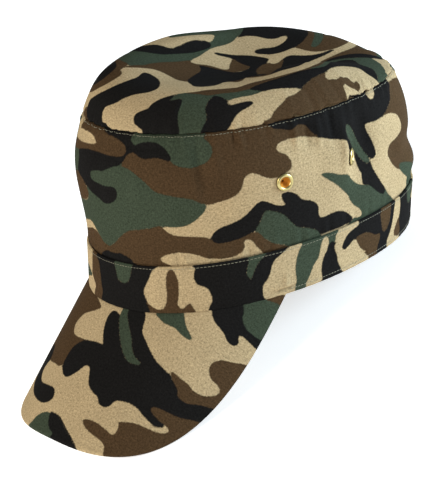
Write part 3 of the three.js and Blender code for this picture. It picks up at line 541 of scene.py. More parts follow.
def edgeDistance(outline, places):
    far = printing["far"]
    reached = np.full(len(places), -float(far))
    curve = roundedOutline(outline)
    near = np.all((places > curve.min(0) - far) & (places < curve.max(0) + far), axis=1)
    spots = places[near]
    if not len(spots):
        return reached
    starts, runs = curve, np.roll(curve, -1, 0) - curve
    away = spots[:, None, :] - starts[None]
    share = np.clip((away * runs).sum(-1) / np.maximum((runs * runs).sum(-1), 1e-9), 0, 1)
    distance = np.sqrt((((away - share[..., None] * runs) ** 2).sum(-1)).min(1))
    rising = (starts[:, 1] <= spots[:, 1:]) != (starts[:, 1] + runs[:, 1] <= spots[:, 1:])
    slope = runs[:, 0] / np.where(runs[:, 1] == 0, 1e-9, runs[:, 1])
    crossing = starts[:, 0] + (spots[:, 1:] - starts[:, 1]) * slope
    inside = (rising & (spots[:, :1] < crossing)).sum(1) % 2 == 1
    reached[near] = np.clip(np.where(inside, distance, -distance), -far, far)
    return reached


def printDistances(chart, plan, wraps=False):
    shifts = (-girth, 0, girth) if wraps else (0,)
    layers = {}
    for colour in printing["colours"]:
        inked = np.full(len(plan), -float(printing["far"]))
        for shift in shifts:
            places = plan + np.array((shift, 0))
            for outline in chart[colour]:
                inked = np.maximum(inked, edgeDistance(outline, places))
            for outline in chart.get(colour + "Gaps", ()):
                inked = np.minimum(inked, -edgeDistance(outline, places))
        layers[colour] = inked
    # a darker ink runs on a little way over the paler ones, so that no ground shows between them
    paler = layers[printing["colours"][0]]
    for colour in printing["colours"][1:]:
        ink = layers[colour]
        closed = np.minimum(ink, paler) + printing["reach"]
        lapped = np.minimum(ink + printing["over"], paler + printing["lap"])
        layers[colour] = np.maximum(ink, np.minimum(np.maximum(closed, lapped), printing["over"] - paler))
        paler = np.maximum(paler, ink)
    return layers


# Materials

def linearColour(hexColour):
    channels = [int(hexColour[i:i + 2], 16) / 255 for i in (1, 3, 5)]
    return tuple(c / 12.92 if c <= 0.04045 else ((c + 0.055) / 1.055) ** 2.4 for c in channels) + (1.0,)


def addNode(tree, kind, links=None, **settings):
    node = tree.nodes.new(kind)
    for name, value in settings.items():
        if name == "inputs":
            for socket, amount in value.items():
                node.inputs[socket].default_value = amount
        else:
            setattr(node, name, value)
    for socket, source in (links or {}).items():
        tree.links.new(source, node.inputs[socket])
    return node


def newMaterial(name):
    material = bpy.data.materials.new(name)
    material.use_nodes = True
    tree = material.node_tree
    return material, tree, tree.nodes["Principled BSDF"]


clothLook = {
    "tan": "#a28e6c", "brown": "#433322", "green": "#363e31", "black": "#171615",
    "reverseTan": "#a89a78", "reverseFading": 0.55,
    "threadSpacing": 0.75,  # real threads are 0.5 mm apart: drawn coarser, so that they show
    "threadRun": 2,  # length of a thread's light and dark stretches, in threads
    "threadRelief": 0.0002,  # metres
    "mottle": 1.5,  # how far the threads differ in tone
    "washScale": 0.06, "washDepth": 0.24,  # broad uneven fading
    "frayScale": 0.9, "frayReach": 1.1, "inkBleed": 0.35,  # wandering and softness of an ink's edge
    "edgeDarkening": 0.56,  # two inks lie over each other along an edge
    "roughness": 0.9, "shine": 0.02,
}


# Printed plain-woven cotton: dry and matt, speckled by its threads, inks that wander a little along them
def printedCotton(name, faded=0.0):
    look = clothLook
    material, tree, shader = newMaterial(name)
    plan = addNode(tree, "ShaderNodeUVMap", uv_map="clothPlan").outputs["UV"]
    fray = addNode(tree, "ShaderNodeTexNoise", {"Vector": plan},
                   inputs={"Scale": look["frayScale"], "Detail": 3.0, "Roughness": 0.6})
    wander = addNode(tree, "ShaderNodeMath", {0: fray.outputs["Fac"]}, operation="MULTIPLY_ADD",
                     inputs={1: look["frayReach"], 2: -look["frayReach"] / 2})
    ground = linearColour(look["reverseTan"] if faded else look["tan"])
    colour, ridges = None, None
    for ink in printing["colours"]:
        edge = addNode(tree, "ShaderNodeAttribute", attribute_name=ink + "Edge")
        frayed = addNode(tree, "ShaderNodeMath", {0: edge.outputs["Fac"], 1: wander.outputs[0]},
                         operation="ADD")
        cover = addNode(tree, "ShaderNodeMapRange", {"Value": frayed.outputs[0]},
                        interpolation_type="SMOOTHSTEP",
                        inputs={"From Min": -look["inkBleed"], "From Max": look["inkBleed"],
                                "To Max": 1.0 - faded})
        layer = addNode(tree, "ShaderNodeMix", {"Factor": cover.outputs["Result"]}, data_type="RGBA",
                        inputs={6: ground, 7: linearColour(look[ink])})
        bare = addNode(tree, "ShaderNodeMath", {1: cover.outputs["Result"]}, operation="SUBTRACT",
                       inputs={0: 1.0})
        ridge = addNode(tree, "ShaderNodeMath", {0: cover.outputs["Result"], 1: bare.outputs[0]},
                        operation="MULTIPLY")
        if colour is not None:
            tree.links.new(colour, layer.inputs[6])
            ridge = addNode(tree, "ShaderNodeMath", {0: ridge.outputs[0], 1: ridges.outputs[0]},
                            operation="MAXIMUM")
        colour, ridges = layer.outputs[2], ridge
    across, along = 1 / look["threadSpacing"], 1 / look["threadSpacing"] / look["threadRun"]
    yarns = []
    for scale in ((across, along, 1), (along, across, 1)):
        laid = addNode(tree, "ShaderNodeMapping", {"Vector": plan}, inputs={"Scale": scale})
        yarns.append(addNode(tree, "ShaderNodeTexNoise", {"Vector": laid.outputs["Vector"]},
                             inputs={"Scale": 1.0, "Detail": 3.0, "Roughness": 0.7}))
    weave = addNode(tree, "ShaderNodeMath", {0: yarns[0].outputs["Fac"], 1: yarns[1].outputs["Fac"]},
                    operation="ADD")
    washed = addNode(tree, "ShaderNodeTexNoise", {"Vector": plan},
                     inputs={"Scale": look["washScale"], "Detail": 3.0, "Roughness": 0.55})
    mottle = addNode(tree, "ShaderNodeMath", {0: weave.outputs[0]}, operation="MULTIPLY_ADD",
                     inputs={1: look["mottle"], 2: 1 - look["mottle"]})
    tone = addNode(tree, "ShaderNodeMath", {0: washed.outputs["Fac"]}, operation="MULTIPLY_ADD",
                   inputs={1: look["washDepth"], 2: 1 - look["washDepth"] / 2})
    lining = addNode(tree, "ShaderNodeMath", {0: ridges.outputs[0]}, operation="MULTIPLY_ADD",
                     inputs={1: -look["edgeDarkening"], 2: 1.0})
    value = addNode(tree, "ShaderNodeMath", {0: mottle.outputs[0], 1: tone.outputs[0]},
                    operation="MULTIPLY")
    value = addNode(tree, "ShaderNodeMath", {0: value.outputs[0], 1: lining.outputs[0]},
                    operation="MULTIPLY")
    dyed = addNode(tree, "ShaderNodeHueSaturation", {"Color": colour, "Value": value.outputs[0]})
    raised = addNode(tree, "ShaderNodeBump", {"Height": weave.outputs[0]},
                     inputs={"Strength": 0.5, "Distance": look["threadRelief"]})
    tree.links.new(dyed.outputs["Color"], shader.inputs["Base Color"])
    tree.links.new(raised.outputs["Normal"], shader.inputs["Normal"])
    shader.inputs["Roughness"].default_value = look["roughness"]
    shader.inputs["Specular IOR Level"].default_value = look["shine"]
    return material


brassLook = {
    "flange": ("#cfc391", "#a8944f", 0.42),  # bright, worn, roughness where it is dullest
    # the barrel's deeper, redder orange is painted shade: it stands in for light bouncing inside the hollow
    # barrel
    "barrel": ("#e6a94a", "#bb8434", 0.75),
    "tarnishScale": 420.0, "tarnishShine": 0.16,
}


# Pressed sheet brass, lacquered: bright yellow metal, softly polished, a little brown where it is worn
def pressedBrass(name, bright, worn, dullest):
    material, tree, shader = newMaterial(name)
    place = addNode(tree, "ShaderNodeTexCoord").outputs["Object"]
    tarnish = addNode(tree, "ShaderNodeTexNoise", {"Vector": place},
                      inputs={"Scale": brassLook["tarnishScale"], "Detail": 4.0})
    tint = addNode(tree, "ShaderNodeMix", {"Factor": tarnish.outputs["Fac"]}, data_type="RGBA",
                   inputs={6: linearColour(bright), 7: linearColour(worn)})
    rough = addNode(tree, "ShaderNodeMapRange", {"Value": tarnish.outputs["Fac"]},
                    inputs={"To Min": dullest - brassLook["tarnishShine"], "To Max": dullest})
    tree.links.new(tint.outputs[2], shader.inputs["Base Color"])
    tree.links.new(rough.outputs["Result"], shader.inputs["Roughness"])
    shader.inputs["Metallic"].default_value = 1.0
    return material


threadLook = {"shade": "#565346", "light": "#969178", "twistScale": 900.0, "roughness": 0.6}


# Spun polyester sewing thread: pale olive, slightly shiny
def sewingThread(name):
    look = threadLook
    material, tree, shader = newMaterial(name)
    place = addNode(tree, "ShaderNodeTexCoord").outputs["Object"]
    twist = addNode(tree, "ShaderNodeTexNoise", {"Vector": place},
                    inputs={"Scale": look["twistScale"], "Detail": 2.0})
    tint = addNode(tree, "ShaderNodeMix", {"Factor": twist.outputs["Fac"]}, data_type="RGBA",
                   inputs={6: linearColour(look["shade"]), 7: linearColour(look["light"])})
    tree.links.new(tint.outputs[2], shader.inputs["Base Color"])
    shader.inputs["Roughness"].default_value = look["roughness"]
    return material


clothFace = printedCotton("printedPlainCotton")
clothReverse = printedCotton("plainCottonReverse", faded=clothLook["reverseFading"])
brass = pressedBrass("pressedBrass", *brassLook["flange"])
# the barrel's brass is a darker, redder copy of the flange's brass, with painted shade for the inside of
# the hole
barrelBrassPaintedShade = pressedBrass("barrelBrassPaintedShade", *brassLook["barrel"])
thread = sewingThread("sewingThread")
print("materials made")


# Cloth panels: a flat grid is cut for each and its points are moved to where they are sewn

mergeReach = 0.00002  # metres: points nearer than this become one


def cutPanel(name, columns, rows):
    bpy.ops.object.select_all(action="DESELECT")
    bpy.ops.mesh.primitive_grid_add(x_subdivisions=columns, y_subdivisions=rows, size=1,
                                    location=(0, 0, 0))
    panel = bpy.context.object
    panel.name = name
    panel.data.name = name
    return panel


def vertexPlaces(mesh):
    places = np.empty(len(mesh.vertices) * 3)
    mesh.vertices.foreach_get("co", places)
    return places.reshape(-1, 3)


def flatShares(panel):
    flat = vertexPlaces(panel.data)
    return flat[:, 0] + 0.5, flat[:, 1] + 0.5


def alongProfile(profile, around):
    stops = np.arange(len(profile))
    return [np.interp(around * stops[-1], stops, column) for column in profile.T]


def sewPanel(panel, points, plan, chart, wraps):
    mesh = panel.data
    mesh.vertices.foreach_set("co", layDown(points).astype(np.float32).ravel())
    for colour, distances in printDistances(chart, plan, wraps).items():
        layer = mesh.attributes.new(colour + "Edge", "FLOAT", "POINT")
        layer.data.foreach_set("value", distances.astype(np.float32))
    corners = np.empty(len(mesh.loops), dtype=np.int32)
    mesh.loops.foreach_get("vertex_index", corners)
    mesh.uv_layers[0].name = "clothPlan"
    mesh.uv_layers[0].data.foreach_set("uv", plan[corners].astype(np.float32).ravel())
    mesh.update()


def pick(piece):
    bpy.ops.object.select_all(action="DESELECT")
    piece.select_set(True)
    bpy.context.view_layer.objects.active = piece


def tidySurface(piece, shutEnds=False):
    pick(piece)
    bpy.ops.object.mode_set(mode="EDIT")
    bpy.ops.mesh.select_all(action="SELECT")
    bpy.ops.mesh.remove_doubles(threshold=mergeReach)
    if shutEnds:
        bpy.ops.mesh.fill_holes(sides=0)
    bpy.ops.mesh.select_all(action="SELECT")
    bpy.ops.mesh.normals_make_consistent(inside=False)
    bpy.ops.object.mode_set(mode="OBJECT")
    bpy.ops.object.shade_smooth()


def thicken(piece, thickness):
    solidify = piece.modifiers.new("clothThickness", "SOLIDIFY")
    solidify.thickness = thickness / 1000
    solidify.offset = -1
    solidify.use_even_offset = True
    solidify.material_offset = 1
    pick(piece)
    bpy.ops.object.modifier_apply(modifier=solidify.name)


def finishCloth(piece, node):
    piece.data.materials.clear()
    piece.data.materials.append(clothFace)
    piece.data.materials.append(clothReverse)
    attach(piece, "root")
    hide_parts(node)


def faceOutward(piece):
    middle = layDown(np.array(crown["middle"]))
    outwards = sum((np.array(face.center) - middle) @ np.array(face.normal) * face.area
                   for face in piece.data.polygons)
    if outwards <= 0:
        piece.data.flip_normals()


def restOnFloor(panel):
    for vertex in panel.data.vertices:
        vertex.co.z = max(vertex.co.z, 0)


# Eyelets' places on the wall

eyelets = {
    "spots": {"eyelet_left_front": (59, 0.55), "eyelet_left_rear": (89, 0.565),
              "eyelet_right_front": (-59, 0.55), "eyelet_right_rear": (-89, 0.565)},
    "hole": 3.5, "holeDepth": 8,
    # radius and height above the cloth's middle: the pressed flange, the washer behind, the barrel between
    "profile": ((2.85, 1.25), (3.0, 1.6), (3.3, 1.85), (3.75, 1.95), (4.2, 1.8), (4.55, 1.5), (4.7, 1.15),
                (4.6, 0.95), (4.2, 1.0), (3.2, 1.0), (3.2, -1.0), (4.2, -1.0), (4.6, -0.95), (4.7, -1.15),
                (4.5, -1.5), (4.0, -1.75), (3.3, -1.8), (2.6, -1.75), (1.3, -1.7), (0.5, -1.6),
                (0.55, -1.4), (1.3, -0.9), (2.1, 0.0), (2.6, 0.8)),
    "barrelRadius": 2.8,
    "segments": 40,
    "mergeReach": 0.001,
}


def eyeletFrame(azimuth, level):
    turn, rise = 0.5, 0.05  # steps round the wall in degrees, and up it as a share of its height
    azimuths = np.array((azimuth, azimuth + turn, azimuth - turn, azimuth, azimuth), float)
    levels = np.array((level, level, level, level + rise, level - rise))
    insets = crown["hemStep"] * (1 - level) + crown["cloth"] / 2
    centre = wallPoint(azimuths, levels, insets)[0]
    spots = wallPoint(azimuths, levels)
    sideways = Vector(spots[1] - spots[2]).normalized()
    upwards = Vector(spots[3] - spots[4]).normalized()
    outward = sideways.cross(upwards).normalized()
    return Vector(centre), sideways, outward.cross(sideways).normalized(), outward


# Crown wall

crownWall = {"columns": 520, "rows": 72, "seamPull": 0.45, "seamPullReach": 0.9,
             "rollHeight": 0.5, "rollAt": 3.2, "rollReach": 2.6, "pucker": 0.6, "puckerReach": 4.8,
             "hemRise": 1.8, "footAt": 1, "footRise": 2, "footShift": 4, "backChartAt": -134}
puckerWaves = (  # number round the cap, share of the height, start
    (199, 0.3, 0.0), (95, 0.55, 0.9), (60, 0.6, 0.0), (25, 0.4, 1.3),
)


def puckers(length, strength):
    turn = 2 * np.pi * length / girth
    return strength * sum(share * np.sin(number * turn + start) for number, share, start in puckerWaves)


# Small creases in the cloth, each from one place on the flat panel to another, with its half width
# and how far it stands out, in shares of the depth; they fade at both ends

creaseForm = {"depth": 2.3, "fullestAt": 0.45, "fade": 0.65}
wallCreases = (
    ((57, 66), (60, 30), 5, -0.7), ((66, 64), (67, 40), 5, 0.4), ((78.5, 68), (77.5, 59), 1.7, -0.6),
    ((81, 67), (82, 56), 2.4, 0.4), ((48, 68), (49, 58), 1.6, -0.4), ((39, 68), (39, 60), 1.4, -0.35),
    ((110, 67), (109, 50), 3, 0.6), ((117, 67), (116, 48), 3, -0.7), ((124, 67), (122, 46), 3.2, 0.6),
    ((133, 67), (131, 45), 3.2, -0.6), ((139, 62), (137, 30), 4, 0.7), ((150, 64), (160, 30), 7, -0.5),
    ((20, 60), (24, 20), 7, 0.4), ((-10, 62), (-6, 16), 8, -0.5), ((176, 30), (196, 26), 5, -0.8),
    ((-150, 60), (-146, 20), 9, -0.7), ((-215, 58), (-222, 18), 10, 0.8), ((260, 60), (256, 14), 9, 0.8),
)


def creasePush(creases, flatX, flatY):
    form = creaseForm
    push = np.zeros_like(flatX)
    for (startX, startY), (endX, endY), halfWidth, depth in creases:
        runX, runY = endX - startX, endY - startY
        reach = math.hypot(runX, runY)
        along = ((flatX - startX) * runX + (flatY - startY) * runY) / reach
        aside = ((flatX - startX) * runY - (flatY - startY) * runX) / reach
        fading = bump((along / reach - form["fullestAt"]) / form["fade"])
        push = push + form["depth"] * depth * bump(aside / halfWidth) * fading
    return push


def wallSurface(length, height):
    form = crownWall
    azimuth = azimuthAt(length)
    level = height / crown["wallPlan"]
    tucked = band["thickness"] + crown["gap"]
    rising = smooth((height + crown["gap"]) / form["hemRise"])
    inset = tucked + (crown["hemStep"] * (1 - np.clip(level, 0, 1)) - tucked) * rising
    onBand = bandPoint(azimuth, 1 + np.minimum(height, 0) / band["height"], inset)
    points = np.where((height < 0)[:, None], onBand, wallPoint(azimuth, level, inset))
    fromSeam = crown["wallPlan"] - height
    fromFoot = np.abs(height - form["footAt"])
    push = -form["seamPull"] * np.exp(-(fromSeam / form["seamPullReach"]) ** 2)
    push = push + form["rollHeight"] * bump((fromSeam - form["rollAt"]) / form["rollReach"])
    push = push + puckers(length, form["pucker"]) * np.exp(-fromSeam / form["puckerReach"])
    foot = puckers(length + form["footShift"], form["pucker"]) * np.exp(-fromFoot / form["puckerReach"])
    push = push + foot * smooth(height / form["footRise"]) + creasePush(wallCreases, length, height)
    return points + wallOutward(azimuth) * push[:, None]


def makeCrownWall():
    form = crownWall
    panel = cutPanel("crownWall", form["columns"], form["rows"])
    across, up = flatShares(panel)
    length = (across - 0.5) * girth
    height = -crown["hem"] + (crown["wallPlan"] + crown["hem"]) * up
    points = wallSurface(length, height)
    chart = joinedCharts(wallPrint, turnedOver(wallPrint, (form["backChartAt"], crown["wallPlan"])))
    sewPanel(panel, points, np.stack([length, height], -1), chart, wraps=True)
    tidySurface(panel)
    cutEyeletHoles(panel)
    faceOutward(panel)
    thicken(panel, crown["cloth"])
    finishCloth(panel, "crown_wall")


def cutEyeletHoles(panel):
    mesh = panel.data
    for azimuth, level in eyelets["spots"].values():
        centre, sideways, along, outward = eyeletFrame(azimuth, level)
        middle = layDown(np.array(centre))
        tips = [layDown(np.array(centre + axis)) - middle for axis in (sideways, along, outward)]
        axes = np.array([tip / np.linalg.norm(tip) for tip in tips])
        local = (vertexPlaces(mesh) - middle) @ axes.T * 1000
        inHole = np.hypot(local[:, 0], local[:, 1]) < eyelets["hole"]
        near = inHole & (np.abs(local[:, 2]) < eyelets["holeDepth"])
        bpy.ops.object.mode_set(mode="EDIT")
        bpy.ops.mesh.select_all(action="DESELECT")
        bpy.ops.object.mode_set(mode="OBJECT")
        for index in np.flatnonzero(near):
            mesh.vertices[index].select = True
        bpy.ops.object.mode_set(mode="EDIT")
        bpy.ops.mesh.select_mode(type="VERT")
        bpy.ops.mesh.delete(type="VERT")
        bpy.ops.object.mode_set(mode="OBJECT")


makeCrownWall()
print("crown wall sewn")


# Crown top

crownTop = {"columns": 400, "rows": 78, "edgeTuck": 0.5, "edgeTuckReach": 0.9, "pucker": 0.56,
            "puckerReach": 4.5}
topDirections = np.arange(-180.0, 181)  # one for each degree
topShares = np.linspace(0, 1, 301)
topGrid = topPoint(*np.meshgrid(topDirections, topShares, indexing="ij"))
topRuns = np.linalg.norm(np.diff(topGrid, axis=1), axis=-1)
topReaches = np.concatenate([np.zeros((len(topDirections), 1)), np.cumsum(topRuns, axis=1)], axis=1)
topCreases = (
    ((90, -36), (66, -30), 3.5, 0.5), ((91, -22), (68, -19), 3.5, -0.6), ((91, -12), (67, -10), 3, 0.6),
    ((91, -3), (69, -2), 2.6, -0.5), ((91, 6), (68, 6), 2.6, 0.6), ((90, 14), (70, 14), 2.2, -0.7),
    ((90, 20), (70, 22), 2.0, 0.6), ((88, 27), (70, 29), 2.0, -0.5), ((84, -52), (66, -42), 4, -0.4),
    ((36, -90), (30, -62), 4, 0.4), ((-4, -96), (-4, -66), 5, -0.4), ((10, -20), (36, 44), 7, -0.7),
    ((-50, -20), (-40, 50), 9, 0.6), ((-88, 10), (-64, 6), 4, 0.5), ((-80, -40), (-58, -28), 4, -0.5),
    ((0, 94), (2, 66), 4, -0.5), ((40, 84), (32, 62), 4, 0.5), ((-44, 84), (-34, 62), 4, 0.5),
)


def topShareAt(azimuth, run):
    share = np.empty_like(run)
    nearest = np.round(azimuth - topDirections[0]).astype(int)
    for direction in np.unique(nearest):
        here = nearest == direction
        share[here] = np.interp(run[here], topReaches[direction], topShares)
    return share


def makeCrownTop():
    form = crownTop
    panel = cutPanel("crownTop", form["columns"], form["rows"])
    across, out = flatShares(panel)
    length = (across - 0.5) * girth
    azimuth = azimuthAt(length)
    fullRun = np.interp(azimuth, topDirections, topReaches[:, -1])
    run = out * fullRun
    share = topShareAt(azimuth, run)
    points = topPoint(azimuth, np.where(out >= 1, 1, share))
    fromEdge = fullRun - run
    tuck = -form["edgeTuck"] * np.exp(-(fromEdge / form["edgeTuckReach"]) ** 2)
    crease = puckers(length, form["pucker"]) * np.exp(-fromEdge / form["puckerReach"])
    points = points + wallOutward(azimuth) * (tuck + crease)[:, None]
    plan = np.stack([run * np.sin(np.radians(azimuth)), -run * np.cos(np.radians(azimuth))], -1)
    points[:, 2] += creasePush(topCreases, plan[:, 0], plan[:, 1])
    sewPanel(panel, points, plan, topPrint, wraps=False)
    tidySurface(panel)
    faceOutward(panel)
    thicken(panel, crown["cloth"])
    finishCloth(panel, "crown_top")


makeCrownTop()
print("crown top sewn")


# Headband: a folded strip, rounded at both folds

headband = {"columns": 520, "faceRows": 24, "foldRows": 5, "insideRows": 8, "pucker": 0.1,
            "puckerReach": 2.5, "backChartAt": -86}
bandCreases = (
    ((91, 2.0), (108, 3.6), 0.9, -0.9), ((92, 4.6), (106, 5.6), 1.8, 0.6), ((100, 12), (99, 2), 2.2, 0.35),
    ((152, 5.4), (158, 4.2), 1.0, -0.6), ((153, 8), (160, 6), 1.6, 0.4), ((30, 24), (30, 4), 6, 0.3),
    ((128, 24), (128, 6), 5, -0.3), ((-60, 24), (-62, 3), 7, 0.4), ((220, 24), (218, 3), 6, -0.4),
    ((-180, 24), (-178, 3), 7, -0.4),
)


def bandProfile():
    form = headband
    fold = band["thickness"] / 2
    top = band["height"] - fold
    turns = np.linspace(0, np.pi, form["foldRows"] + 1)[1:-1]
    face = [(0.0, z) for z in np.linspace(fold, top, form["faceRows"] + 1)]
    over = [(fold - fold * math.cos(t), top + fold * math.sin(t)) for t in turns]
    inside = [(2 * fold, z) for z in np.linspace(top, fold, form["insideRows"] + 1)]
    under = [(fold + fold * math.cos(t), fold - fold * math.sin(t)) for t in turns]
    return np.array(face + over + inside + under + face[:1])


def makeHeadband():
    form = headband
    profile = bandProfile()
    panel = cutPanel("headbandStrip", form["columns"], len(profile) - 1)
    across, around = flatShares(panel)
    length = (across - 0.5) * girth
    azimuth = azimuthAt(length)
    inset, height = alongProfile(profile, around)
    points = bandPoint(azimuth, height / band["height"], inset)
    outside = np.clip(1 - inset / band["thickness"], 0, 1)
    fromFold = np.minimum(band["height"] - height, height)
    crease = puckers(length, form["pucker"]) * np.exp(-fromFold / form["puckerReach"])
    crease = crease + creasePush(bandCreases, length, height)
    points = points + wallOutward(azimuth) * (crease * outside)[:, None]
    chart = joinedCharts(bandPrint, turnedOver(bandPrint, (form["backChartAt"], band["height"])))
    sewPanel(panel, points, np.stack([length, height], -1), chart, wraps=True)
    restOnFloor(panel)
    tidySurface(panel)
    finishCloth(panel, "headband")


makeHeadband()
print("headband folded")


# Peak: a covered board, ruled along one straight direction from the rim

peak = {"droop": 43.2, "thickness": 3, "halfWidth": 86.7, "base": 28.1, "tip": 152.4,
        "powerAcross": 3, "powerAlong": 2.9, "leastLength": 1.2, "tuckedIn": 1.1, "edgeShare": 0.4,
        "columns": 210, "faceRows": 112, "edgeRows": 8, "underRows": 40}
droop = math.radians(peak["droop"])
peakAlong = np.array((0, -math.cos(droop), -math.sin(droop)))
peakDown = np.array((0, math.sin(droop), -math.cos(droop)))


def tracedRim():  # the front half of the rim: distance round it as the peak's board is bent, and place
    stops = np.linspace(-90, 90, 1601)
    points = bandPoint(stops, np.zeros_like(stops))
    steps = np.diff(points, axis=0)
    width = np.concatenate([[0], np.cumsum(np.hypot(steps[:, 0], steps @ peakDown))])
    return width - np.interp(0, stops, width), points


rimWidths, rimPoints = tracedRim()


def peakOutline(width):
    share = np.clip(np.abs(width) / peak["halfWidth"], 0, 1)
    return peak["base"] + (peak["tip"] - peak["base"]) * (1 - share ** peak["powerAcross"]) ** (
        1 / peak["powerAlong"])


def peakRoot(width):
    step = 0.2
    root, ahead, behind = (np.stack([np.interp(width + aside, rimWidths, rimPoints[:, axis])
                                     for axis in range(3)], -1) for aside in (0, step, -step))
    up = -np.cross(ahead - behind, peakAlong)
    return root, up / np.linalg.norm(up, axis=-1, keepdims=True)


def peakReach():  # how far round the rim the peak goes before it gets too short
    widths = np.linspace(0, peak["halfWidth"], 4001)
    root, _ = peakRoot(widths)
    longEnough = peakOutline(widths) - root @ peakAlong > peak["leastLength"]
    return widths[longEnough][-1]


def peakProfile():
    form = peak
    turns = np.linspace(0, np.pi, form["edgeRows"] + 1)
    # share of the straight length, depth below the face as a share of the thickness, reach past it
    face = [(s, 0.0, 0.0) for s in np.linspace(0, 1, form["faceRows"] + 1)]
    edge = [(1.0, (1 - math.cos(t)) / 2, math.sin(t) / 2) for t in turns[1:-1]]
    under = [(s, 1.0, 0.0) for s in np.linspace(1, 0, form["underRows"] + 1)]
    return np.array(face + edge + under + face[:1])


def makePeak():
    form = peak
    profile = peakProfile()
    panel = cutPanel("peakCover", form["columns"], len(profile) - 1)
    across, around = flatShares(panel)
    width = peakReach() * np.sin(math.pi / 2 * (2 * across - 1))
    root, up = peakRoot(width)
    rootAlong = root @ peakAlong
    full = peakOutline(width) - rootAlong
    share, depth, reach = alongProfile(profile, around)
    edge = np.minimum(form["thickness"] / 2, full * form["edgeShare"])
    run = share * (full - edge) + 2 * reach * edge - form["tuckedIn"] * (share == 0)
    points = root + run[:, None] * peakAlong - (depth * form["thickness"])[:, None] * up
    plan = np.stack([width, -(rootAlong + run)], -1)
    sewPanel(panel, points, plan, peakPrint, wraps=False)
    restOnFloor(panel)
    tidySurface(panel, shutEnds=True)
    finishCloth(panel, "peak")


makePeak()
print("peak covered")


# Blender lists the faces of an extrusion or a sphere in an order that varies: this gives them a fixed one

sortPlace = (5, 3, 1)  # no two faces are equally far from it


def sortFaces():
    bpy.ops.mesh.select_all(action="SELECT")
    bpy.context.scene.cursor.location = sortPlace
    bpy.ops.mesh.sort_elements(type="CURSOR_DISTANCE", elements={"FACE"})


# Eyelets: one is pressed and then copied to each of its places

def pressedEyelet():
    form = eyelets
    rings = form["profile"]
    bpy.ops.object.select_all(action="DESELECT")
    bpy.ops.mesh.primitive_circle_add(vertices=form["segments"], radius=rings[0][0],
                                      location=(0, 0, rings[0][1]))
    eyelet = bpy.context.object
    bpy.ops.object.mode_set(mode="EDIT")
    bpy.ops.mesh.select_all(action="SELECT")
    for (radius, height), (nextRadius, nextHeight) in zip(rings, rings[1:] + rings[:1]):
        bpy.ops.mesh.extrude_edges_move(TRANSFORM_OT_translate={"value": (0, 0, nextHeight - height)})
        grow = nextRadius / radius
        bpy.ops.transform.resize(value=(grow, grow, 1), center_override=(0, 0, 0))
    bpy.ops.mesh.select_all(action="SELECT")
    bpy.ops.mesh.remove_doubles(threshold=form["mergeReach"])
    bpy.ops.mesh.normals_make_consistent(inside=False)
    sortFaces()
    bpy.ops.object.mode_set(mode="OBJECT")
    bpy.ops.object.transform_apply(location=True, rotation=False, scale=False)
    bpy.ops.object.shade_smooth()
    eyelet.data.materials.append(brass)
    eyelet.data.materials.append(barrelBrassPaintedShade)
    # faces inside the barrel radius get the barrel brass with its painted shade
    for face in eyelet.data.polygons:
        face.material_index = int(math.hypot(face.center[0], face.center[1]) < form["barrelRadius"])
    return eyelet


def seatEyelet(eyelet, node, azimuth, level):
    seated = eyelet.copy()
    seated.data = eyelet.data.copy()
    seated.name = node + "Brass"
    bpy.context.collection.objects.link(seated)
    centre, *axes = (np.array(part) for part in eyeletFrame(azimuth, level))
    placed = centre + vertexPlaces(seated.data) @ np.array(axes)
    seated.data.vertices.foreach_set("co", layDown(placed).astype(np.float32).ravel())
    seated.data.update()
    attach(seated, "root")
    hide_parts(node)


eyelet = pressedEyelet()
for node, (azimuth, level) in eyelets["spots"].items():
    seatEyelet(eyelet, node, azimuth, level)
bpy.data.objects.remove(eyelet, do_unlink=True)
print("eyelets pressed in")


# Stitches: one stitch is modelled and copied along each row

stitches = {"period": 2.0, "length": 1.65, "radius": 0.15, "standOut": 0.35,
            "belowTopSeam": 1, "belowBandEdge": 1.3, "bandEdgeStart": 0.8, "aboveRim": 2.5, "rimFrom": 103}


def oneStitch():
    bpy.ops.object.select_all(action="DESELECT")
    bpy.ops.mesh.primitive_uv_sphere_add(segments=8, ring_count=6, radius=1, location=(0, 0, 0))
    bead = bpy.context.object
    bpy.ops.object.mode_set(mode="EDIT")
    sortFaces()
    bpy.ops.object.mode_set(mode="OBJECT")
    bead.scale = (stitches["length"] / 2, stitches["radius"], stitches["radius"])
    bpy.ops.object.transform_apply(location=False, rotation=False, scale=True)
    spots = vertexPlaces(bead.data)
    faces = [tuple(face.vertices) for face in bead.data.polygons]
    bpy.data.objects.remove(bead, do_unlink=True)
    return spots, faces


stitchSpots, stitchFaces = oneStitch()


def sewRow(name, surface, lengths):
    step = 0.4
    centre, ahead, above = surface(lengths, 0.0), surface(lengths + step, 0.0), surface(lengths, step)
    along = ahead - centre
    along /= np.linalg.norm(along, axis=1, keepdims=True)
    out = np.cross(along, above - centre)
    out /= np.linalg.norm(out, axis=1, keepdims=True)
    side = np.cross(out, along)
    raised = centre + out * stitches["radius"] * stitches["standOut"]
    spots = raised[:, None, :]
    for axis, direction in enumerate((along, side, out)):
        spots = spots + stitchSpots[None, :, axis:axis + 1] * direction[:, None]
    count = len(stitchSpots)
    faces = [tuple(corner + i * count for corner in face)
             for i in range(len(lengths)) for face in stitchFaces]
    mesh = bpy.data.meshes.new(name)
    mesh.from_pydata(layDown(spots.reshape(-1, 3)).tolist(), [], faces)
    row = bpy.data.objects.new(name, mesh)
    bpy.context.collection.objects.link(row)
    mesh.materials.append(thread)
    mesh.shade_smooth()
    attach(row, "root")


def seamLine(lengths, higher):
    height = crown["wallPlan"] - stitches["belowTopSeam"] + higher
    return wallSurface(lengths, np.full_like(lengths, height))


def bandLine(height):
    def line(lengths, higher):
        level = (height + higher) / band["height"]
        return bandPoint(azimuthAt(lengths), np.full_like(lengths, level))
    return line


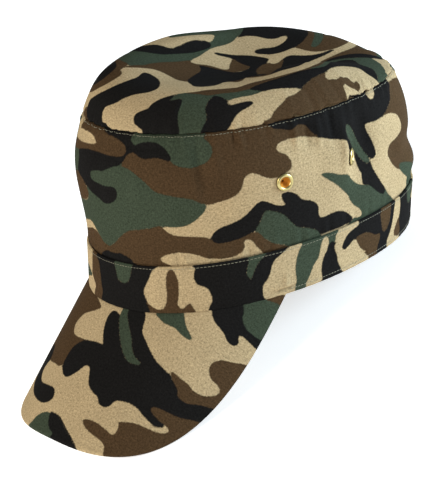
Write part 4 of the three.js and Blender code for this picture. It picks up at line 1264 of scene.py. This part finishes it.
everyStitch = np.arange(-girth / 2, girth / 2 - stitches["period"] / 2, stitches["period"])
freeRim = everyStitch[np.abs(everyStitch) > stitches["rimFrom"]]
sewRow("topSeamStitches", seamLine, everyStitch)
sewRow("bandEdgeStitches", bandLine(band["height"] - stitches["belowBandEdge"]),
       everyStitch + stitches["bandEdgeStart"])
sewRow("rimStitches", bandLine(stitches["aboveRim"]), freeRim)
print("stitches sewn")


# Floor and light

studio = {
    "floorSize": 8, "floorColour": "#f4f4f2", "floorRoughness": 0.9,
    "floorGlow": 0.62,  # lit a little from below, as a light table is
    "roomLight": 0.2, "aimHeight": 0.07,
    "lamps": {  # place in metres, size, watts, colour
        "warmLight": ((-0.14, -1.13, 0.86), 0.8, 19.6, (1.0, 0.97, 0.915)),
        "coolLight": ((0.95, 1.02, 0.26), 0.7, 38.5, (0.7, 0.86, 1.0)),
    },
}


def makeFloor():
    bpy.ops.object.select_all(action="DESELECT")
    bpy.ops.mesh.primitive_plane_add(size=studio["floorSize"], location=(0, 0, 0))
    floor = bpy.context.object
    floor.name = "studioFloor"
    material, tree, shader = newMaterial("paleFloor")
    shader.inputs["Base Color"].default_value = linearColour(studio["floorColour"])
    shader.inputs["Roughness"].default_value = studio["floorRoughness"]
    floor.data.materials.append(material)
    shader.inputs["Emission Color"].default_value = (1, 1, 1, 1)
    shader.inputs["Emission Strength"].default_value = studio["floorGlow"]


def makeLights():
    for name, (place, size, watts, colour) in studio["lamps"].items():
        bpy.ops.object.light_add(type="AREA", location=place)
        lamp = bpy.context.object
        lamp.name = name
        lamp.data.size = size
        lamp.data.energy = watts
        lamp.data.color = colour
        towards = Vector((0, 0, studio["aimHeight"])) - Vector(place)
        lamp.rotation_euler = towards.to_track_quat("-Z", "Y").to_euler()
    world = bpy.data.worlds.new("softRoom")
    world.use_nodes = True
    background = world.node_tree.nodes["Background"]
    background.inputs["Color"].default_value = (1, 1, 1, 1)
    background.inputs["Strength"].default_value = studio["roomLight"]
    bpy.context.scene.world = world
    bpy.context.scene.view_settings.view_transform = "Standard"


makeFloor()
makeLights()
print("studio lit")
